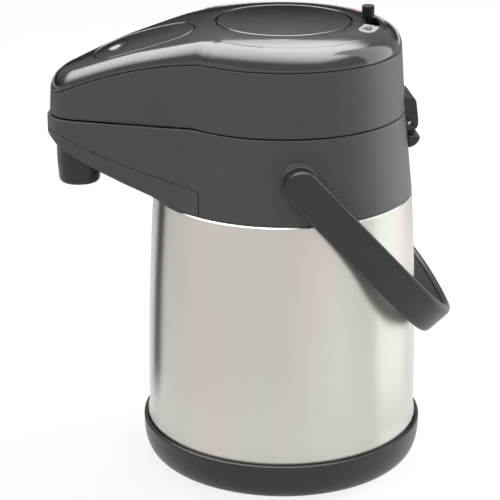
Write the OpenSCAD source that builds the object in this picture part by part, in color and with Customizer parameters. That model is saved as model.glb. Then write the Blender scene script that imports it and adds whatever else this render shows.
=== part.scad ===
// Pump vacuum flask. Millimetres, Z up, the floor at zero, the flask's axis on Z.
// The beak points to -Y, the lid's hinge is at +Y and the handle turns about X.

/* [Body] */
// Radius of the steel shell at its foot
body_r = 80; // [74:0.5:88]
// Height of the shell's upper edge, where the collar begins
shell_z = 165.4; // [150:0.2:185]
// How far the shell draws in on its way up to the collar
shell_draw = 4.6; // [3:0.1:6]
// Height of the base cup's lip
base_h = 23.4; // [19:0.2:28]
// How far the base cup's lip stands out from the shell
base_lip = 3.5; // [3:0.1:4.5]
// How far the base cup's side rounds in towards its foot
base_round = 10; // [8:0.5:12]
// How far the rubber foot stands below the base cup
foot_drop = 1; // [0.6:0.1:1.6]
// Thickness of the steel walls
steel_t = 0.8; // [0.6:0.1:1.1]
// Clear gap between the shell and the vessel
vacuum_gap = 7; // [5:0.5:9]
// Radius of the vessel's mouth
mouth_r = 32.5; // [30:0.5:34]

/* [Collar and lid] */
// Height of the collar
collar_h = 48.1; // [46:0.1:52]
// How far the collar draws in from its bottom to its top
collar_draw = 5.2; // [4:0.1:6.5]
// Height of the lid's wall at the back
lid_h = 36.5; // [34:0.5:40]
// How far the lid's wall draws in
lid_draw = 2.6; // [2:0.1:3.5]
// Rise of the cover from its edge to the button's rim
cover_h = 14; // [12.5:0.5:16]
// Width of the rounding along the cover's edge
cover_round = 7; // [6:0.5:8.5]
// Fall of the cover between the button and the rounding
cover_fall = 3.5; // [2.9:0.1:4.1]
// Thickness of the plastic walls
wall_t = 2.6; // [2.2:0.1:3]
// Open gap between the lid and the collar
seam_gap = 0.8; // [0.6:0.1:1.1]

/* [Beak] */
// Distance from the flask's axis to the tip of the beak
beak_len = 134.2; // [128:0.2:140]
// Radius of the beak's nose
nose_r = 20.2; // [18.5:0.1:22]
// Angle between the beak's side and its middle
beak_a = 20.5; // [19:0.1:22]
// Radius of the blend between the beak and the round body
blend_r = 12; // [9:0.5:15]
// Slope of the beak's top in degrees
beak_slope = 14; // [12.5:0.1:15.5]
// Fall of the cover's edge from the beak's root to its tip
edge_fall = 24; // [21:0.5:26]
// Width of the rounding along the beak's edge
beak_round = 11; // [9:0.5:12.5]
// How far the collar's beak stands proud of the lid's
beak_proud = 1.2; // [0.8:0.1:1.6]
// Radius of the nozzle at its mouth
nozzle_r = 11.8; // [11:0.1:12.4]
// How far the nozzle hangs below the beak's tip
nozzle_drop = 26; // [22:0.5:30]
// Radius of the outlet in the nozzle
outlet_r = 6; // [5:0.1:7]

/* [Button and lock] */
// Radius of the push button
button_r = 38.2; // [36:0.1:39.5]
// Open ring between the button and the cover
button_gap = 1.1; // [0.8:0.1:1.5]
// Travel of the push button
button_travel = 20; // [16:0.5:21]
// Depth of the dish in the button
dish = 2.4; // [1.8:0.1:3]
// Distance from the cover's rounding in to the middle of the lock's knob
lock_in = 10.1; // [9.2:0.1:11]
// Radius of the lock's knob
knob_r = 3.4; // [3:0.1:3.8]
// Height of the knob above the cover
knob_h = 5; // [4:0.1:7]
// Turn of the lock in degrees
lock_turn = 20; // [16:0.5:23]
// Length of the oval latch tab
tab_len = 56; // [52:0.5:58]
// Width of the oval latch tab
tab_w = 39.5; // [36:0.5:41]

/* [Hinge and handle] */
// Width of the lid's hinge
hinge_w = 28; // [25:0.5:32]
// Radius of the hinge pin
hinge_pin_r = 1.3; // [1.1:0.05:1.7]
// Depth of the hinge pin below the lid's lower edge
hinge_drop = 9; // [8.4:0.1:9.6]
// Height of the handle's pivot above the collar's bottom edge
pivot_h = 24.6; // [23:0.1:26]
// Radius of the handle's pivot pins
pivot_r = 4; // [3.4:0.1:4.6]
// Reach of the handle from its pivot to the outside of the grip
handle_l = 135; // [122:0.5:148]
// Width of the handle's strap
strap_w = 20; // [18:0.2:22]
// Thickness of the handle's strap
strap_t = 5.5; // [5:0.1:6]
// Clear gap between the hanging grip and the shell
grip_gap = 0.9; // [0.5:0.1:3]

/* [Fits] */
// Radial clearance of a pin that turns in its hole
run_c = 0.06; // [0.04:0.01:0.09]
// Side clearance between parts that move past each other
slide_c = 0.4; // [0.35:0.05:0.6]
// Clearance between parts that are joined for good
seat_c = 0.05; // [0.03:0.01:0.08]

/* [Hidden] */
$fn = 96;
collar_r = body_r - shell_draw;
seam_z = shell_z + collar_h;
seam_r = collar_r - collar_draw;
edge_z = seam_z + lid_h;
edge_r = seam_r - lid_draw;
top_z = edge_z + cover_h;
lid_bot = seam_z + seam_gap / 2;
collar_top = seam_z - seam_gap / 2;
cover_t = 2.4;
lid_t = wall_t + 0.8;
nose_y = -(beak_len - nose_r);
side_c = nose_r - nose_y * sin(beak_a);
tail_y = -0.335 * beak_len;
hole_r = button_r + button_gap;
lock_r = edge_r - cover_round - lock_in;
cut_h = collar_h + lid_h;

// The lower beak's lines as falls in millimetres along its length, from its root (0) to its tip (1).
under_drop = [
  [0, 35.3], [0.093, 35.1], [0.2, 33.4], [0.326, 30.1], [0.464, 26.5], [0.6, 22.4], [0.753, 17.4],
  [0.874, 12.4], [0.937, 9.7], [0.98, 8.4], [1.06, 7.6]
];
floor_drop = [
  [0.235, 47.8], [0.381, 40.5], [0.549, 34.5], [0.684, 29.1], [0.818, 23], [0.908, 18.5],
  [0.964, 15], [1.01, 11], [1.06, 8]
];

function along(y) = min(1.06, max(0, (tail_y - y) / (beak_len + tail_y)));
function at_along(s) = tail_y - s * (beak_len + tail_y);
function edge_at(y) = edge_z - edge_fall * pow(along(y), 1.9);

// The crest is level past the button, runs down the beak at a slope and droops at the nose.
crown_r = hole_r - 0.8;
slope_y = -(hole_r + 1.6);
slope_soft = 9.8;
droop_y = nose_y + 28.4;
droop = 5.3;
function eased(u) = (u + sqrt(u * u + slope_soft * slope_soft)) / 2;
function sloped(y) = max(0, eased(slope_y - y) - eased(slope_y + crown_r));
function drooped(u) = pow(max(0, u), 1.4);
function crest_at(y) =
  top_z - tan(beak_slope) * sloped(y) - droop * drooped((droop_y - y) / (droop_y + beak_len));
function crest_line(c, y0, y1) = [for (i = [0 : 8]) let (y = y0 + (y1 - y0) * i / 8) [y, crest_at(y) - c]];

// The plan outline, half of it, from the back of the round body to the tip of the beak.
n_arc = 26;
n_blend = 5;
n_side = 9;
n_nose = 10;
n_half = n_arc + n_blend + n_side + n_nose;

function blend_t(r, c) = sqrt(pow(r + blend_r, 2) - pow(c + blend_r, 2));
function blend_x(r, c) = (c + blend_r) * cos(beak_a) - blend_t(r, c) * sin(beak_a);
function blend_y(r, c) = -(c + blend_r) * sin(beak_a) - blend_t(r, c) * cos(beak_a);
function blend_a(r, c) = atan2(blend_y(r, c), blend_x(r, c));

// Each entry is x, y and the direction that points straight into the body.
function outline(r, off) =
  let (
    c = side_c + off,
    fx = blend_x(r, c),
    fy = blend_y(r, c),
    a0 = blend_a(r, c),
    k = nose_r + off,
    x0 = fx - blend_r * cos(beak_a),
    y0 = fy + blend_r * sin(beak_a),
    x1 = k * cos(beak_a),
    y1 = nose_y - k * sin(beak_a)
  )
  concat(
    [for (i = [0 : n_arc - 1]) let (a = 90 + (a0 - 90) * i / n_arc) [r * cos(a), r * sin(a), a + 180]],
    [
      for (i = [0 : n_blend - 1])
        let (a = a0 + 180 - (a0 + beak_a) * i / n_blend)
        [fx + blend_r * cos(a), fy + blend_r * sin(a), a]
    ],
    [
      for (i = [0 : n_side - 1])
        let (t = i / n_side)
        [x0 + (x1 - x0) * t, y0 + (y1 - y0) * t, 180 - beak_a]
    ],
    [
      for (i = [0 : n_nose])
        let (a = -beak_a - (90 - beak_a) * i / n_nose)
        [k * cos(a), nose_y + k * sin(a), a + 180]
    ]
  );

function ring(r, off, z) = [for (p = outline(r, off)) [p[0], p[1], z]];
function edge_ring(r, off, dz) = [for (p = outline(r, off)) [p[0], p[1], edge_at(p[1]) + dz]];

function right_of(level, i) = level * 2 * n_half + i;
function left_of(level, i) = (i == 0 || i == n_half) ? right_of(level, i) : level * 2 * n_half + n_half + i;
function both_sides(levels) = [
  for (h = levels)
    each concat(h, [for (i = [1 : n_half - 1]) [-h[i][0], h[i][1], h[i][2]]])
];

// The walls between half outlines that stand above each other, closed straight across at both ends.
module skin(levels) {
  last = len(levels) - 1;
  polyhedron(
    points = both_sides(levels),
    faces = concat(
      [
        for (l = [0 : last - 1])
          for (i = [0 : n_half - 1])
            each [
              [right_of(l, i), right_of(l, i + 1), right_of(l + 1, i + 1)],
              [right_of(l, i), right_of(l + 1, i + 1), right_of(l + 1, i)],
              [left_of(l, i + 1), left_of(l, i), left_of(l + 1, i + 1)],
              [left_of(l, i), left_of(l + 1, i), left_of(l + 1, i + 1)]
            ]
      ],
      [[right_of(0, 1), right_of(0, 0), left_of(0, 1)]],
      [for (i = [1 : n_half - 2]) [right_of(0, i + 1), right_of(0, i), left_of(0, i), left_of(0, i + 1)]],
      [[right_of(0, n_half), right_of(0, n_half - 1), left_of(0, n_half - 1)]],
      [[right_of(last, 0), right_of(last, 1), left_of(last, 1)]],
      [
        for (i = [1 : n_half - 2])
          [right_of(last, i), right_of(last, i + 1), left_of(last, i + 1), left_of(last, i)]
      ],
      [[right_of(last, n_half - 1), right_of(last, n_half), left_of(last, n_half - 1)]]
    )
  );
}

function collar_r_at(z) = collar_r - collar_draw * (z - shell_z) / collar_h;

// The collar's outside, drawn in by e, between two heights.
module collar_body(e, z0, z1) {
  skin([
    ring(collar_r_at(z0) - e, beak_proud - e, z0),
    ring(collar_r_at(z1) - e, beak_proud - e, z1)
  ]);
}

// The lid's outside, drawn in by e, from a level foot up to the cover's edge.
module lid_body(e, z0, dz) {
  skin([
    ring(seam_r - e, -0.3 - e, z0),
    edge_ring(edge_r - e, -1 - e, dz)
  ]);
}

// The cover's rounded top. Rows run from the edge over the rounding to the button's hole and to the crest.
n_bend = 6;
n_dome = 4;
n_row = n_bend + n_dome;
i_crest = n_arc + n_blend;

// The round body's crown falls late and the beak's is nearly flat across.
crown = 2.6;
beak_crown = 1.8;
beak_fall = 0.4;
roll_ease = 0.59;
function smooth(u) = let (v = min(1, max(0, u))) v * v * (3 - 2 * v);
function on_beak(i) = smooth((i - 0.5 * n_arc) / (0.5 * n_arc + n_blend + 0.2 * n_side));

function round_at(i) = cover_round + (beak_round - cover_round) * on_beak(i);

function hole_point(i, a0) =
  let (
    a = i < n_arc ? 90 + (a0 - 90) * i / n_arc : a0 - (90 + a0) * (i - n_arc) / n_blend
  )
  i <= i_crest ? [i == i_crest ? 0 : crown_r * cos(a), crown_r * sin(a)]
  : i <= i_crest + n_side ? [0, -crown_r + (nose_y + crown_r) * (i - i_crest) / n_side]
  : [0, nose_y];

function dome_half(e, dz) =
  let (o = outline(edge_r - e, -1 - e), a0 = blend_a(edge_r - e, side_c - 1 - e))
  [
    for (k = [0 : n_row])
      [
        for (i = [0 : n_half])
          let (
            p = o[i],
            x0 = p[0],
            y0 = p[1],
            z0 = edge_at(y0) + dz,
            roll = round_at(i),
            qx = i == 0 || i == n_half ? 0 : x0 + roll * cos(p[2]),
            qy = y0 + roll * sin(p[2]),
            s = hole_point(i, a0),
            w = i <= i_crest + n_side ? 1 : 1 - (i - i_crest - n_side) / n_nose,
            g = 1 + w * (crown - 1 + (beak_crown - crown) * on_beak(i)),
            sz = (i <= i_crest ? top_z : crest_at(s[1])) - e,
            qz = crest_at(qy) - w * (cover_fall + (beak_fall - cover_fall) * on_beak(i)) - e,
            d = norm([s[0] - qx, s[1] - qy]),
            kz = max(z0 + 1, qz - g * (sz - qz) / d * roll),
            t = k <= n_bend ? k / n_bend : (k - n_bend) / n_dome,
            b1 = 3 * t * (1 - t) * (1 - t),
            b2 = 3 * t * t * (1 - t),
            b3 = t * t * t,
            b0 = 1 - b1 - b2 - b3,
            f = 1 - pow(1 - t, g)
          )
          k <= n_bend ?
            [
              x0 * (b0 + b1) + (qx + roll_ease * (x0 - qx)) * b2 + qx * b3,
              y0 * (b0 + b1) + (qy + roll_ease * (y0 - qy)) * b2 + qy * b3,
              z0 * b0 + (z0 + roll_ease * (kz - z0)) * b1 + (qz + roll_ease * (kz - qz)) * b2 + qz * b3
            ]
          : [qx + (s[0] - qx) * t, qy + (s[1] - qy) * t, qz + (sz - qz) * f]
      ]
  ];

function apart(p, f) = norm(p[f[0]] - p[f[1]]) > 0.001 && norm(p[f[1]] - p[f[2]]) > 0.001
  && norm(p[f[0]] - p[f[2]]) > 0.001;

module dome(e, dz) {
  pts = both_sides(dome_half(e, dz));
  sides = [
    for (l = [0 : n_row - 1])
      for (i = [0 : n_half - 1])
        each [
          [right_of(l, i), right_of(l, i + 1), right_of(l + 1, i + 1)],
          [right_of(l, i), right_of(l + 1, i + 1), right_of(l + 1, i)],
          [left_of(l, i + 1), left_of(l, i), left_of(l + 1, i + 1)],
          [left_of(l, i), left_of(l + 1, i), left_of(l + 1, i + 1)]
        ]
  ];
  polyhedron(
    points = pts,
    faces = concat(
      [for (f = sides) if (apart(pts, f)) f],
      [
        concat(
          [for (i = [0 : i_crest]) right_of(n_row, i)],
          [for (i = [i_crest - 1 : -1 : 1]) left_of(n_row, i)]
        )
      ],
      [[right_of(0, 1), right_of(0, 0), left_of(0, 1)]],
      [for (i = [1 : n_half - 2]) [right_of(0, i + 1), right_of(0, i), left_of(0, i), left_of(0, i + 1)]],
      [[right_of(0, n_half), right_of(0, n_half - 1), left_of(0, n_half - 1)]]
    )
  );
}

// A side view in Y and Z, drawn out across the flask.
module across(w, pts) {
  rotate([90, 0, 90])
    linear_extrude(w, center = true)
      polygon(pts);
}

module tube(r1, r0, h) {
  difference() {
    cylinder(r = r1, h = h);
    translate([0, 0, -1])
      cylinder(r = r0, h = h + 2);
  }
}

module x_rod(r, x0, x1) {
  translate([x0, 0, 0])
    rotate([0, 90, 0])
      cylinder(r = r, h = x1 - x0);
}

module y_rod(r, y0, y1) {
  translate([0, y0, 0])
    rotate([-90, 0, 0])
      cylinder(r = r, h = y1 - y0);
}

// Steel shell and vessel
neck_z = shell_z + 22.6;
neck_wall = 1.7;
deck_z = shell_z + 18.6;
deck_t = 3;
shell_foot = foot_drop + 5;
shell_arc_z = base_h + 10.6;
function shell_r_at(z) = body_r - shell_draw * pow(max(0, z - shell_arc_z) / (shell_z - shell_arc_z), 2);
shell_steps = 14;
shell_out = concat(
  [[body_r - 12, shell_foot], [body_r - 3, shell_foot]],
  [[body_r - 0.6, shell_foot + 2.4], [body_r, shell_foot + 6]],
  [[body_r, base_h - 2], [body_r + 0.9, base_h + 1], [body_r + 0.9, base_h + 2.4], [body_r + 0.1, base_h + 5]],
  [
    for (i = [0 : shell_steps])
      let (z = shell_arc_z + (shell_z - 1.2 - shell_arc_z) * i / shell_steps)
      [shell_r_at(z), z]
  ],
  [
    [collar_r - 0.5, shell_z - 0.5],
    [collar_r - 3.4, shell_z - 0.1],
    [collar_r - 4.4, shell_z + 0.6],
    [collar_r - 5.4, shell_z + 3],
    [collar_r - 12, shell_z + 9],
    [collar_r - 24, shell_z + 14],
    [mouth_r + 5, shell_z + 16.6],
    [mouth_r + 2.2, shell_z + 17.6],
    [mouth_r + neck_wall, neck_z - 3]
  ]
);
function thinned(pts, t) = [
  for (i = [0 : len(pts) - 1])
    let (
      a = pts[max(0, i - 1)],
      b = pts[min(len(pts) - 1, i + 1)],
      d = (b - a) / norm(b - a)
    )
    pts[i] + t * [-d[1], d[0]]
];
vessel_r = body_r - vacuum_gap - 2 * steel_t;
vessel_foot = shell_foot + vacuum_gap + steel_t;

// The vessel is a drawn cup, with a spun shoulder and a neck tube welded on above it.
weld_z = shell_z - 24;
neck_foot = shell_z + 12.5;
vessel_out = [
  [0, vessel_foot],
  [vessel_r - 18, vessel_foot],
  [vessel_r - 7, vessel_foot + 2],
  [vessel_r - 2, vessel_foot + 7],
  [vessel_r, vessel_foot + 18],
  [vessel_r - 0.4, shell_z - 50],
  [vessel_r - 2.4, weld_z],
  [vessel_r - 6, shell_z - 9],
  [vessel_r - 14, shell_z - 1],
  [vessel_r - 26, shell_z + 5],
  [mouth_r + 2.6, shell_z + 9.6],
  [mouth_r + steel_t, neck_foot],
  [mouth_r + steel_t, neck_z]
];

module outer_shell() {
  color("silver")
    union() {
      rotate_extrude()
        polygon(concat(shell_out, [for (i = [len(shell_out) - 1 : -1 : 0]) thinned(shell_out, steel_t)[i]]));
      translate([0, 0, shell_foot])
        cylinder(r = body_r - 11, h = steel_t);
    }
}

module vessel_wall() {
  rotate_extrude()
    polygon(
      concat(
        vessel_out,
        [
          [mouth_r + neck_wall, neck_z],
          [mouth_r + neck_wall, neck_z + steel_t],
          [mouth_r, neck_z + steel_t]
        ],
        [
          for (i = [len(vessel_out) - 1 : -1 : 0])
            i == 0 ? [0, vessel_foot + steel_t]
            : i == len(vessel_out) - 1 ? [mouth_r, neck_z - 1]
            : thinned(vessel_out, steel_t)[i]
        ]
      )
    );
}

module inner_vessel() {
  color("gainsboro")
    intersection() {
      vessel_wall();
      cylinder(r = body_r, h = weld_z);
    }
}

module vessel_shoulder() {
  color("lightgrey")
    intersection() {
      vessel_wall();
      translate([0, 0, weld_z + seat_c])
        cylinder(r = body_r, h = neck_foot - weld_z - seat_c);
    }
}

module vessel_neck() {
  color("gainsboro")
    difference() {
      vessel_wall();
      cylinder(r = body_r, h = neck_foot + seat_c);
    }
}

base_r = body_r + base_lip;
foot_r = base_r - base_round - 3;
foot_seat = 1.6;
cup_gap = 0.3;
bowl_steps = 12;
bowl_power = 0.8;
bowl_z = base_h - 1.8;

module base_cup() {
  color([0.1, 0.1, 0.1])
    difference() {
      rotate_extrude()
        polygon(
          concat(
            [[0, foot_drop]],
            [
              for (i = [0 : bowl_steps])
                let (a = 90 * (1 - i / bowl_steps))
                [
                  base_r - base_round * (1 - pow(cos(a), bowl_power)),
                  bowl_z - (bowl_z - foot_drop) * pow(sin(a), bowl_power)
                ]
            ],
            [
              [base_r - 0.1, base_h - 0.8],
              [base_r - 0.4, base_h - 0.3],
              [base_r - 1, base_h],
              [body_r + 1.5, base_h],
              [body_r + cup_gap, base_h - 3],
              [body_r + cup_gap, shell_foot + 6],
              [body_r - cup_gap, shell_foot + 2.2],
              [body_r - 2.7, shell_foot - seat_c],
              [0, shell_foot - seat_c]
            ]
          )
        );
      translate([0, 0, -1])
        cylinder(r = foot_r, h = foot_drop + foot_seat + 1);
    }
}

// The foot has two ring grooves that grip the table.
groove_w = 4;
groove_d = 0.7;

module foot_pad() {
  color([0.2, 0.2, 0.2])
    difference() {
      cylinder(r = foot_r - seat_c, h = foot_drop + foot_seat - seat_c);
      for (r = [0.55, 0.82])
        translate([0, 0, -1])
          tube(foot_r * r + groove_w / 2, foot_r * r - groove_w / 2, groove_d + 1);
    }
}

// Collar and beak
pivot_z = shell_z + pivot_h;
boss_x = body_r - 3;
boss_r = strap_w / 2 + 0.4;
boss_in = seam_r - 5.2;
inner_r = collar_r_at(shell_z) - wall_t - 0.2;
hinge_y = seam_r + 1.8;
hinge_z = seam_z - hinge_drop;
pocket_y = seam_r - 5.4;
ledge_z = hinge_z - 7.2;
tube_z = seam_z - 12;
tube_r = 4;
tube_wall = 1;
elbow_r = tube_r + 1.6;
ring_r = mouth_r + 5.5;
nozzle_top = nozzle_r + 0.8;
cut_back = -(sqrt(pow(collar_r, 2) - 2809));
function under_top(c) = [for (d = under_drop) if (d[0] > 0.08) [at_along(d[0]), seam_z - d[1] + c]];
function under_low(c) = [
  for (i = [len(floor_drop) - 1 : -1 : 0])
    [at_along(floor_drop[i][0]), seam_z - floor_drop[i][1] + c]
];

module under_space(c) {
  across(
    2 * body_r,
    concat(
      [[cut_back + c, shell_z - 30], [cut_back + c, seam_z - 35.3 + c]],
      under_top(c),
      [[-beak_len - 20, seam_z - 7.6 + c], [-beak_len - 20, shell_z - 30]]
    )
  );
}

module hinge_pad() {
  intersection() {
    collar_body(0.5, deck_z - 4, collar_top);
    translate([-hinge_w / 2 - 4, pocket_y - 3, deck_z - 4])
      cube([hinge_w + 8, 20, 60]);
  }
}

module shoulder_collar() {
  color([0.3, 0.3, 0.31])
    difference() {
      union() {
        difference() {
          collar_body(0, shell_z + seat_c, collar_top);
          collar_body(wall_t, shell_z - 1, collar_top + 1);
        }
        intersection() {
          collar_body(wall_t / 2, deck_z, deck_z + deck_t);
          translate([0, 0, deck_z - 1])
            cylinder(r = inner_r + 2, h = 5);
        }
        hinge_pad();
        for (s = [-1, 1])
          translate([0, 0, pivot_z])
            x_rod(boss_r, s > 0 ? boss_in : -boss_x, s > 0 ? boss_x : -boss_in);
      }
      under_space(0.3);
      translate([0, 0, deck_z - 20])
        cylinder(r = ring_r + slide_c, h = 40);
      for (s = [-1, 1])
        translate([0, 0, pivot_z]) {
          x_rod(pivot_r + run_c, s > 0 ? seam_r - 20 : -boss_x - 1, s > 0 ? boss_x + 1 : -seam_r + 20);
          x_rod(boss_r - 1.4, s > 0 ? seam_r - 20 : -boss_in, s > 0 ? boss_in : -seam_r + 20);
        }
      translate([-hinge_w / 2 - slide_c, pocket_y, ledge_z])
        cube([hinge_w + 2 * slide_c, 30, 60]);
      for (s = [-1, 1])
        translate([4.5 * s, 0, ledge_z + 3.2])
          y_rod(1.7, pocket_y - 6, pocket_y + 4);
    }
}

module spout_under_cover() {
  color([0.28, 0.28, 0.29])
    difference() {
      intersection() {
        collar_body(0, shell_z + seat_c, seam_z - 2);
        across(
          2 * body_r,
          concat(
            [[cut_back, shell_z - 30], [cut_back, seam_z - 35.3]],
            under_top(0),
            under_low(0),
            [[at_along(0.235), shell_z - 30]]
          )
        );
      }
      intersection() {
        collar_body(wall_t, shell_z - 2, seam_z + 2);
        across(
          2 * body_r,
          concat(
            [[cut_back + 10, shell_z - 30], [cut_back + 10, seam_z]],
            [[-beak_len - 20, seam_z]],
            under_low(2.4),
            [[at_along(0.235), shell_z - 30]]
          )
        );
      }
      translate([0, 0, shell_z - 40])
        cylinder(r = inner_r, h = cut_h);
      translate([0, spout_y, shell_z])
        cylinder(r = nozzle_top + seat_c, h = cut_h);
    }
}

// Nozzle and pipes
spout_y = nose_y - 4;
nozzle_z = seam_z - 15 - nozzle_drop;
nozzle_h = tube_z - tube_r - 0.6 - nozzle_z;

module spout_nozzle() {
  color([0.06, 0.06, 0.06])
    translate([0, spout_y, nozzle_z])
      difference() {
        rotate_extrude()
          polygon([
            [0, 0],
            [nozzle_r - 2.4, 0],
            [nozzle_r - 1.1, 0.4],
            [nozzle_r - 0.3, 1.3],
            [nozzle_r, 2.6],
            [nozzle_top, 13],
            [nozzle_top, nozzle_h - 1],
            [nozzle_top - 1, nozzle_h],
            [0, nozzle_h]
          ]);
        translate([0, 0, -1])
          cylinder(r = outlet_r, h = 15);
        translate([0, 0, 13])
          cylinder(r1 = outlet_r, r2 = tube_r + seat_c, h = 4);
        translate([0, 0, 16])
          cylinder(r = tube_r + seat_c, h = nozzle_h);
      }
}

lift_y = -(mouth_r - 10.5);

module delivery_tube() {
  color([0.85, 0.85, 0.83])
    translate([0, 0, tube_z])
      difference() {
        union() {
          y_rod(tube_r, spout_y, lift_y - 8);
          translate([0, spout_y, nozzle_z + 17.5 - tube_z])
            cylinder(r = tube_r, h = tube_z - nozzle_z - 17.5);
          translate([0, spout_y, 0])
            sphere(r = tube_r);
        }
        y_rod(tube_r - tube_wall, spout_y, lift_y);
        translate([0, spout_y, nozzle_z + 10 - tube_z])
          cylinder(r = tube_r - tube_wall, h = tube_z - nozzle_z - 10);
        translate([0, spout_y, 0])
          sphere(r = tube_r - tube_wall);
      }
}

module outlet_elbow() {
  color([0.8, 0.8, 0.78])
    translate([0, 0, tube_z])
      difference() {
        union() {
          y_rod(elbow_r, lift_y - 22, lift_y);
          translate([0, lift_y, -12])
            cylinder(r = elbow_r, h = 12);
          translate([0, lift_y, 0])
            sphere(r = elbow_r);
        }
        y_rod(tube_r + seat_c, lift_y - 23, lift_y - 7);
        translate([0, lift_y, -13])
          cylinder(r = tube_r + seat_c, h = 8);
        y_rod(tube_r - tube_wall, lift_y - 8, lift_y);
        translate([0, lift_y, -6])
          cylinder(r = tube_r - tube_wall, h = 6);
        translate([0, lift_y, 0])
          sphere(r = tube_r - tube_wall);
      }
}

module lift_tube() {
  color("gainsboro")
    translate([0, lift_y, vessel_foot + 3])
      tube(tube_r, tube_r - tube_wall, tube_z - 5.5 - vessel_foot - 3);
}

// Neck ring and seals
seal_z = seam_z - 4.5;
ring_grip = 2.6;
ring_flange = 6.5;
gasket_h = 1.8;

module neck_ring() {
  color([0.16, 0.16, 0.17])
    difference() {
      union() {
        translate([0, 0, neck_z - ring_grip])
          cylinder(r = ring_r, h = seal_z - neck_z + ring_grip);
        translate([0, 0, deck_z + deck_t + seat_c])
          cylinder(r = ring_r + ring_flange, h = 3);
      }
      translate([0, 0, neck_z - 6])
        cylinder(r = mouth_r + neck_wall + 0.2, h = 6 + steel_t + gasket_h);
      translate([0, 0, neck_z])
        cylinder(r = mouth_r - 1.5, h = cut_h);
      translate([0, 0, tube_z])
        y_rod(elbow_r + seat_c, lift_y - 40, lift_y);
    }
}

module mouth_gasket() {
  color([0.75, 0.74, 0.7])
    translate([0, 0, neck_z + steel_t + seat_c])
      tube(mouth_r + neck_wall + 0.1, mouth_r - 1.4, gasket_h - 2 * seat_c);
}

// Hinge on the collar's side
module hinge_bracket() {
  color([0.07, 0.07, 0.07])
    difference() {
      union() {
        difference() {
          across(
            hinge_w,
            [
              [hinge_y - 8, ledge_z - 7.4],
              [hinge_y + 0.6, ledge_z - 7],
              [hinge_y + 3, ledge_z - 6],
              [hinge_y + 4.8, ledge_z - 4.4],
              [hinge_y + 5.9, ledge_z - 2.4],
              [hinge_y + 6.2, ledge_z - 1],
              [hinge_y + 5.8, ledge_z - 0.2],
              [hinge_y - 8, ledge_z - 0.2]
            ]
          );
          collar_body(-seat_c, deck_z - 10, collar_top);
        }
        across(
          hinge_w - 10.6,
          [
            [pocket_y + seat_c, ledge_z + seat_c],
            [hinge_y + 4.2, ledge_z + seat_c],
            [hinge_y + 4.2, hinge_z],
            [hinge_y - 4.2, hinge_z],
            [pocket_y + seat_c, hinge_z - 1.5]
          ]
        );
        across(
          hinge_w - 10.6,
          [
            [hinge_y, ledge_z - 1],
            [hinge_y + 4.2, ledge_z - 1],
            [hinge_y + 4.2, ledge_z + 1],
            [hinge_y, ledge_z + 1]
          ]
        );
        translate([0, hinge_y, hinge_z])
          x_rod(4.2, -(hinge_w / 2 - 5.3), hinge_w / 2 - 5.3);
      }
      translate([0, hinge_y, hinge_z])
        x_rod(hinge_pin_r + run_c, -hinge_w, hinge_w);
      for (s = [-1, 1])
        translate([4.5 * s, 0, ledge_z + 3.2])
          y_rod(1.4 + seat_c, pocket_y - 4, pocket_y + 6);
    }
}

module bracket_screws() {
  color("silver")
    for (s = [-1, 1])
      translate([4.5 * s, 0, ledge_z + 3.2]) {
        y_rod(1.4, pocket_y - 4, pocket_y + 5.5);
        difference() {
          y_rod(2.8, pocket_y - 5.2, pocket_y - 3 - seat_c);
          translate([-0.4, pocket_y - 6, -2])
            cube([0.8, 1.6, 4]);
        }
      }
}

// The latch tab's place on the beak, and the bar in the collar that its hook goes under
tab_y = at_along(0.382);
hook_y = tab_y - tab_len / 2 + 0.35;
bar_t = 2.6;
bar_gap = 0.3;

module latch_catch() {
  color([0.3, 0.3, 0.31])
    intersection() {
      collar_body(wall_t + seat_c, seam_z - 8, collar_top - 1.6);
      translate([-body_r / 2, hook_y - bar_gap - bar_t, seam_z - 8])
        cube([body_r, bar_t, 12]);
    }
}

// Lid
plate_z = lid_bot + 0.6;
plate_t = 2.4;
screw_z = lid_bot + 3.6;
screw_x = hinge_w / 2 - 4;
screw_r = 1.4;
head_r = 2.8;

module lid_shell() {
  color([0.33, 0.33, 0.34])
    difference() {
      lid_body(0, lid_bot, -0.25);
      lid_body(lid_t, lid_bot - 1, 2);
      skin([
        ring(seam_r - wall_t, -0.3 - wall_t, lid_bot - 1),
        ring(seam_r - wall_t, -0.3 - wall_t, plate_z + plate_t + seat_c)
      ]);
      for (s = [-1, 1])
        translate([screw_x * s, 0, screw_z])
          y_rod(screw_r + 0.3, seam_r - 8, seam_r + 4);
    }
}

tab_power = 2.5;
function bulged(u) = sign(u) * pow(abs(u), 2 / tab_power);
oval = [for (a = [0 : 7.5 : 352.5]) [bulged(cos(a)), bulged(sin(a))]];
tab_t = 3.6;

module oval_prism(c) {
  translate([0, 0, seam_z])
    linear_extrude(cut_h)
      polygon([for (p = oval) [(tab_w / 2 + c) * p[0], tab_y + (tab_len / 2 + c) * p[1]]]);
}

lock_a = -9;
latch_z = crest_at(tab_y) - 8.5;
latch_pin_r = 1.5;

module lock_slot() {
  w = knob_r + 0.5;
  rotate([0, 0, 90 - lock_a - lock_turn])
    rotate_extrude(angle = lock_turn)
      translate([lock_r - w, edge_z])
        square([2 * w, 40]);
  for (a = [lock_a, lock_a + lock_turn])
    translate([lock_r * sin(a), lock_r * cos(a), edge_z])
      cylinder(r = w, h = 40);
}

module top_cover() {
  color([0.22, 0.22, 0.23])
    difference() {
      union() {
        difference() {
          dome(0, 0);
          dome(cover_t, -4);
        }
        for (s = [-1, 1])
          translate([s * (tab_w / 2 + 4), 0, 0])
            across(
              4,
              concat(
                [[tab_y - 5, latch_z - 4], [tab_y + 5, latch_z - 4]],
                crest_line(cover_t - 0.2, tab_y + 5, tab_y - 5)
              )
            );
      }
      translate([0, 0, edge_z - 20])
        cylinder(r = hole_r, h = cut_h);
      oval_prism(0.5);
      lock_slot();
      translate([0, tab_y, latch_z])
        x_rod(latch_pin_r, -tab_w, tab_w);
    }
}

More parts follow.
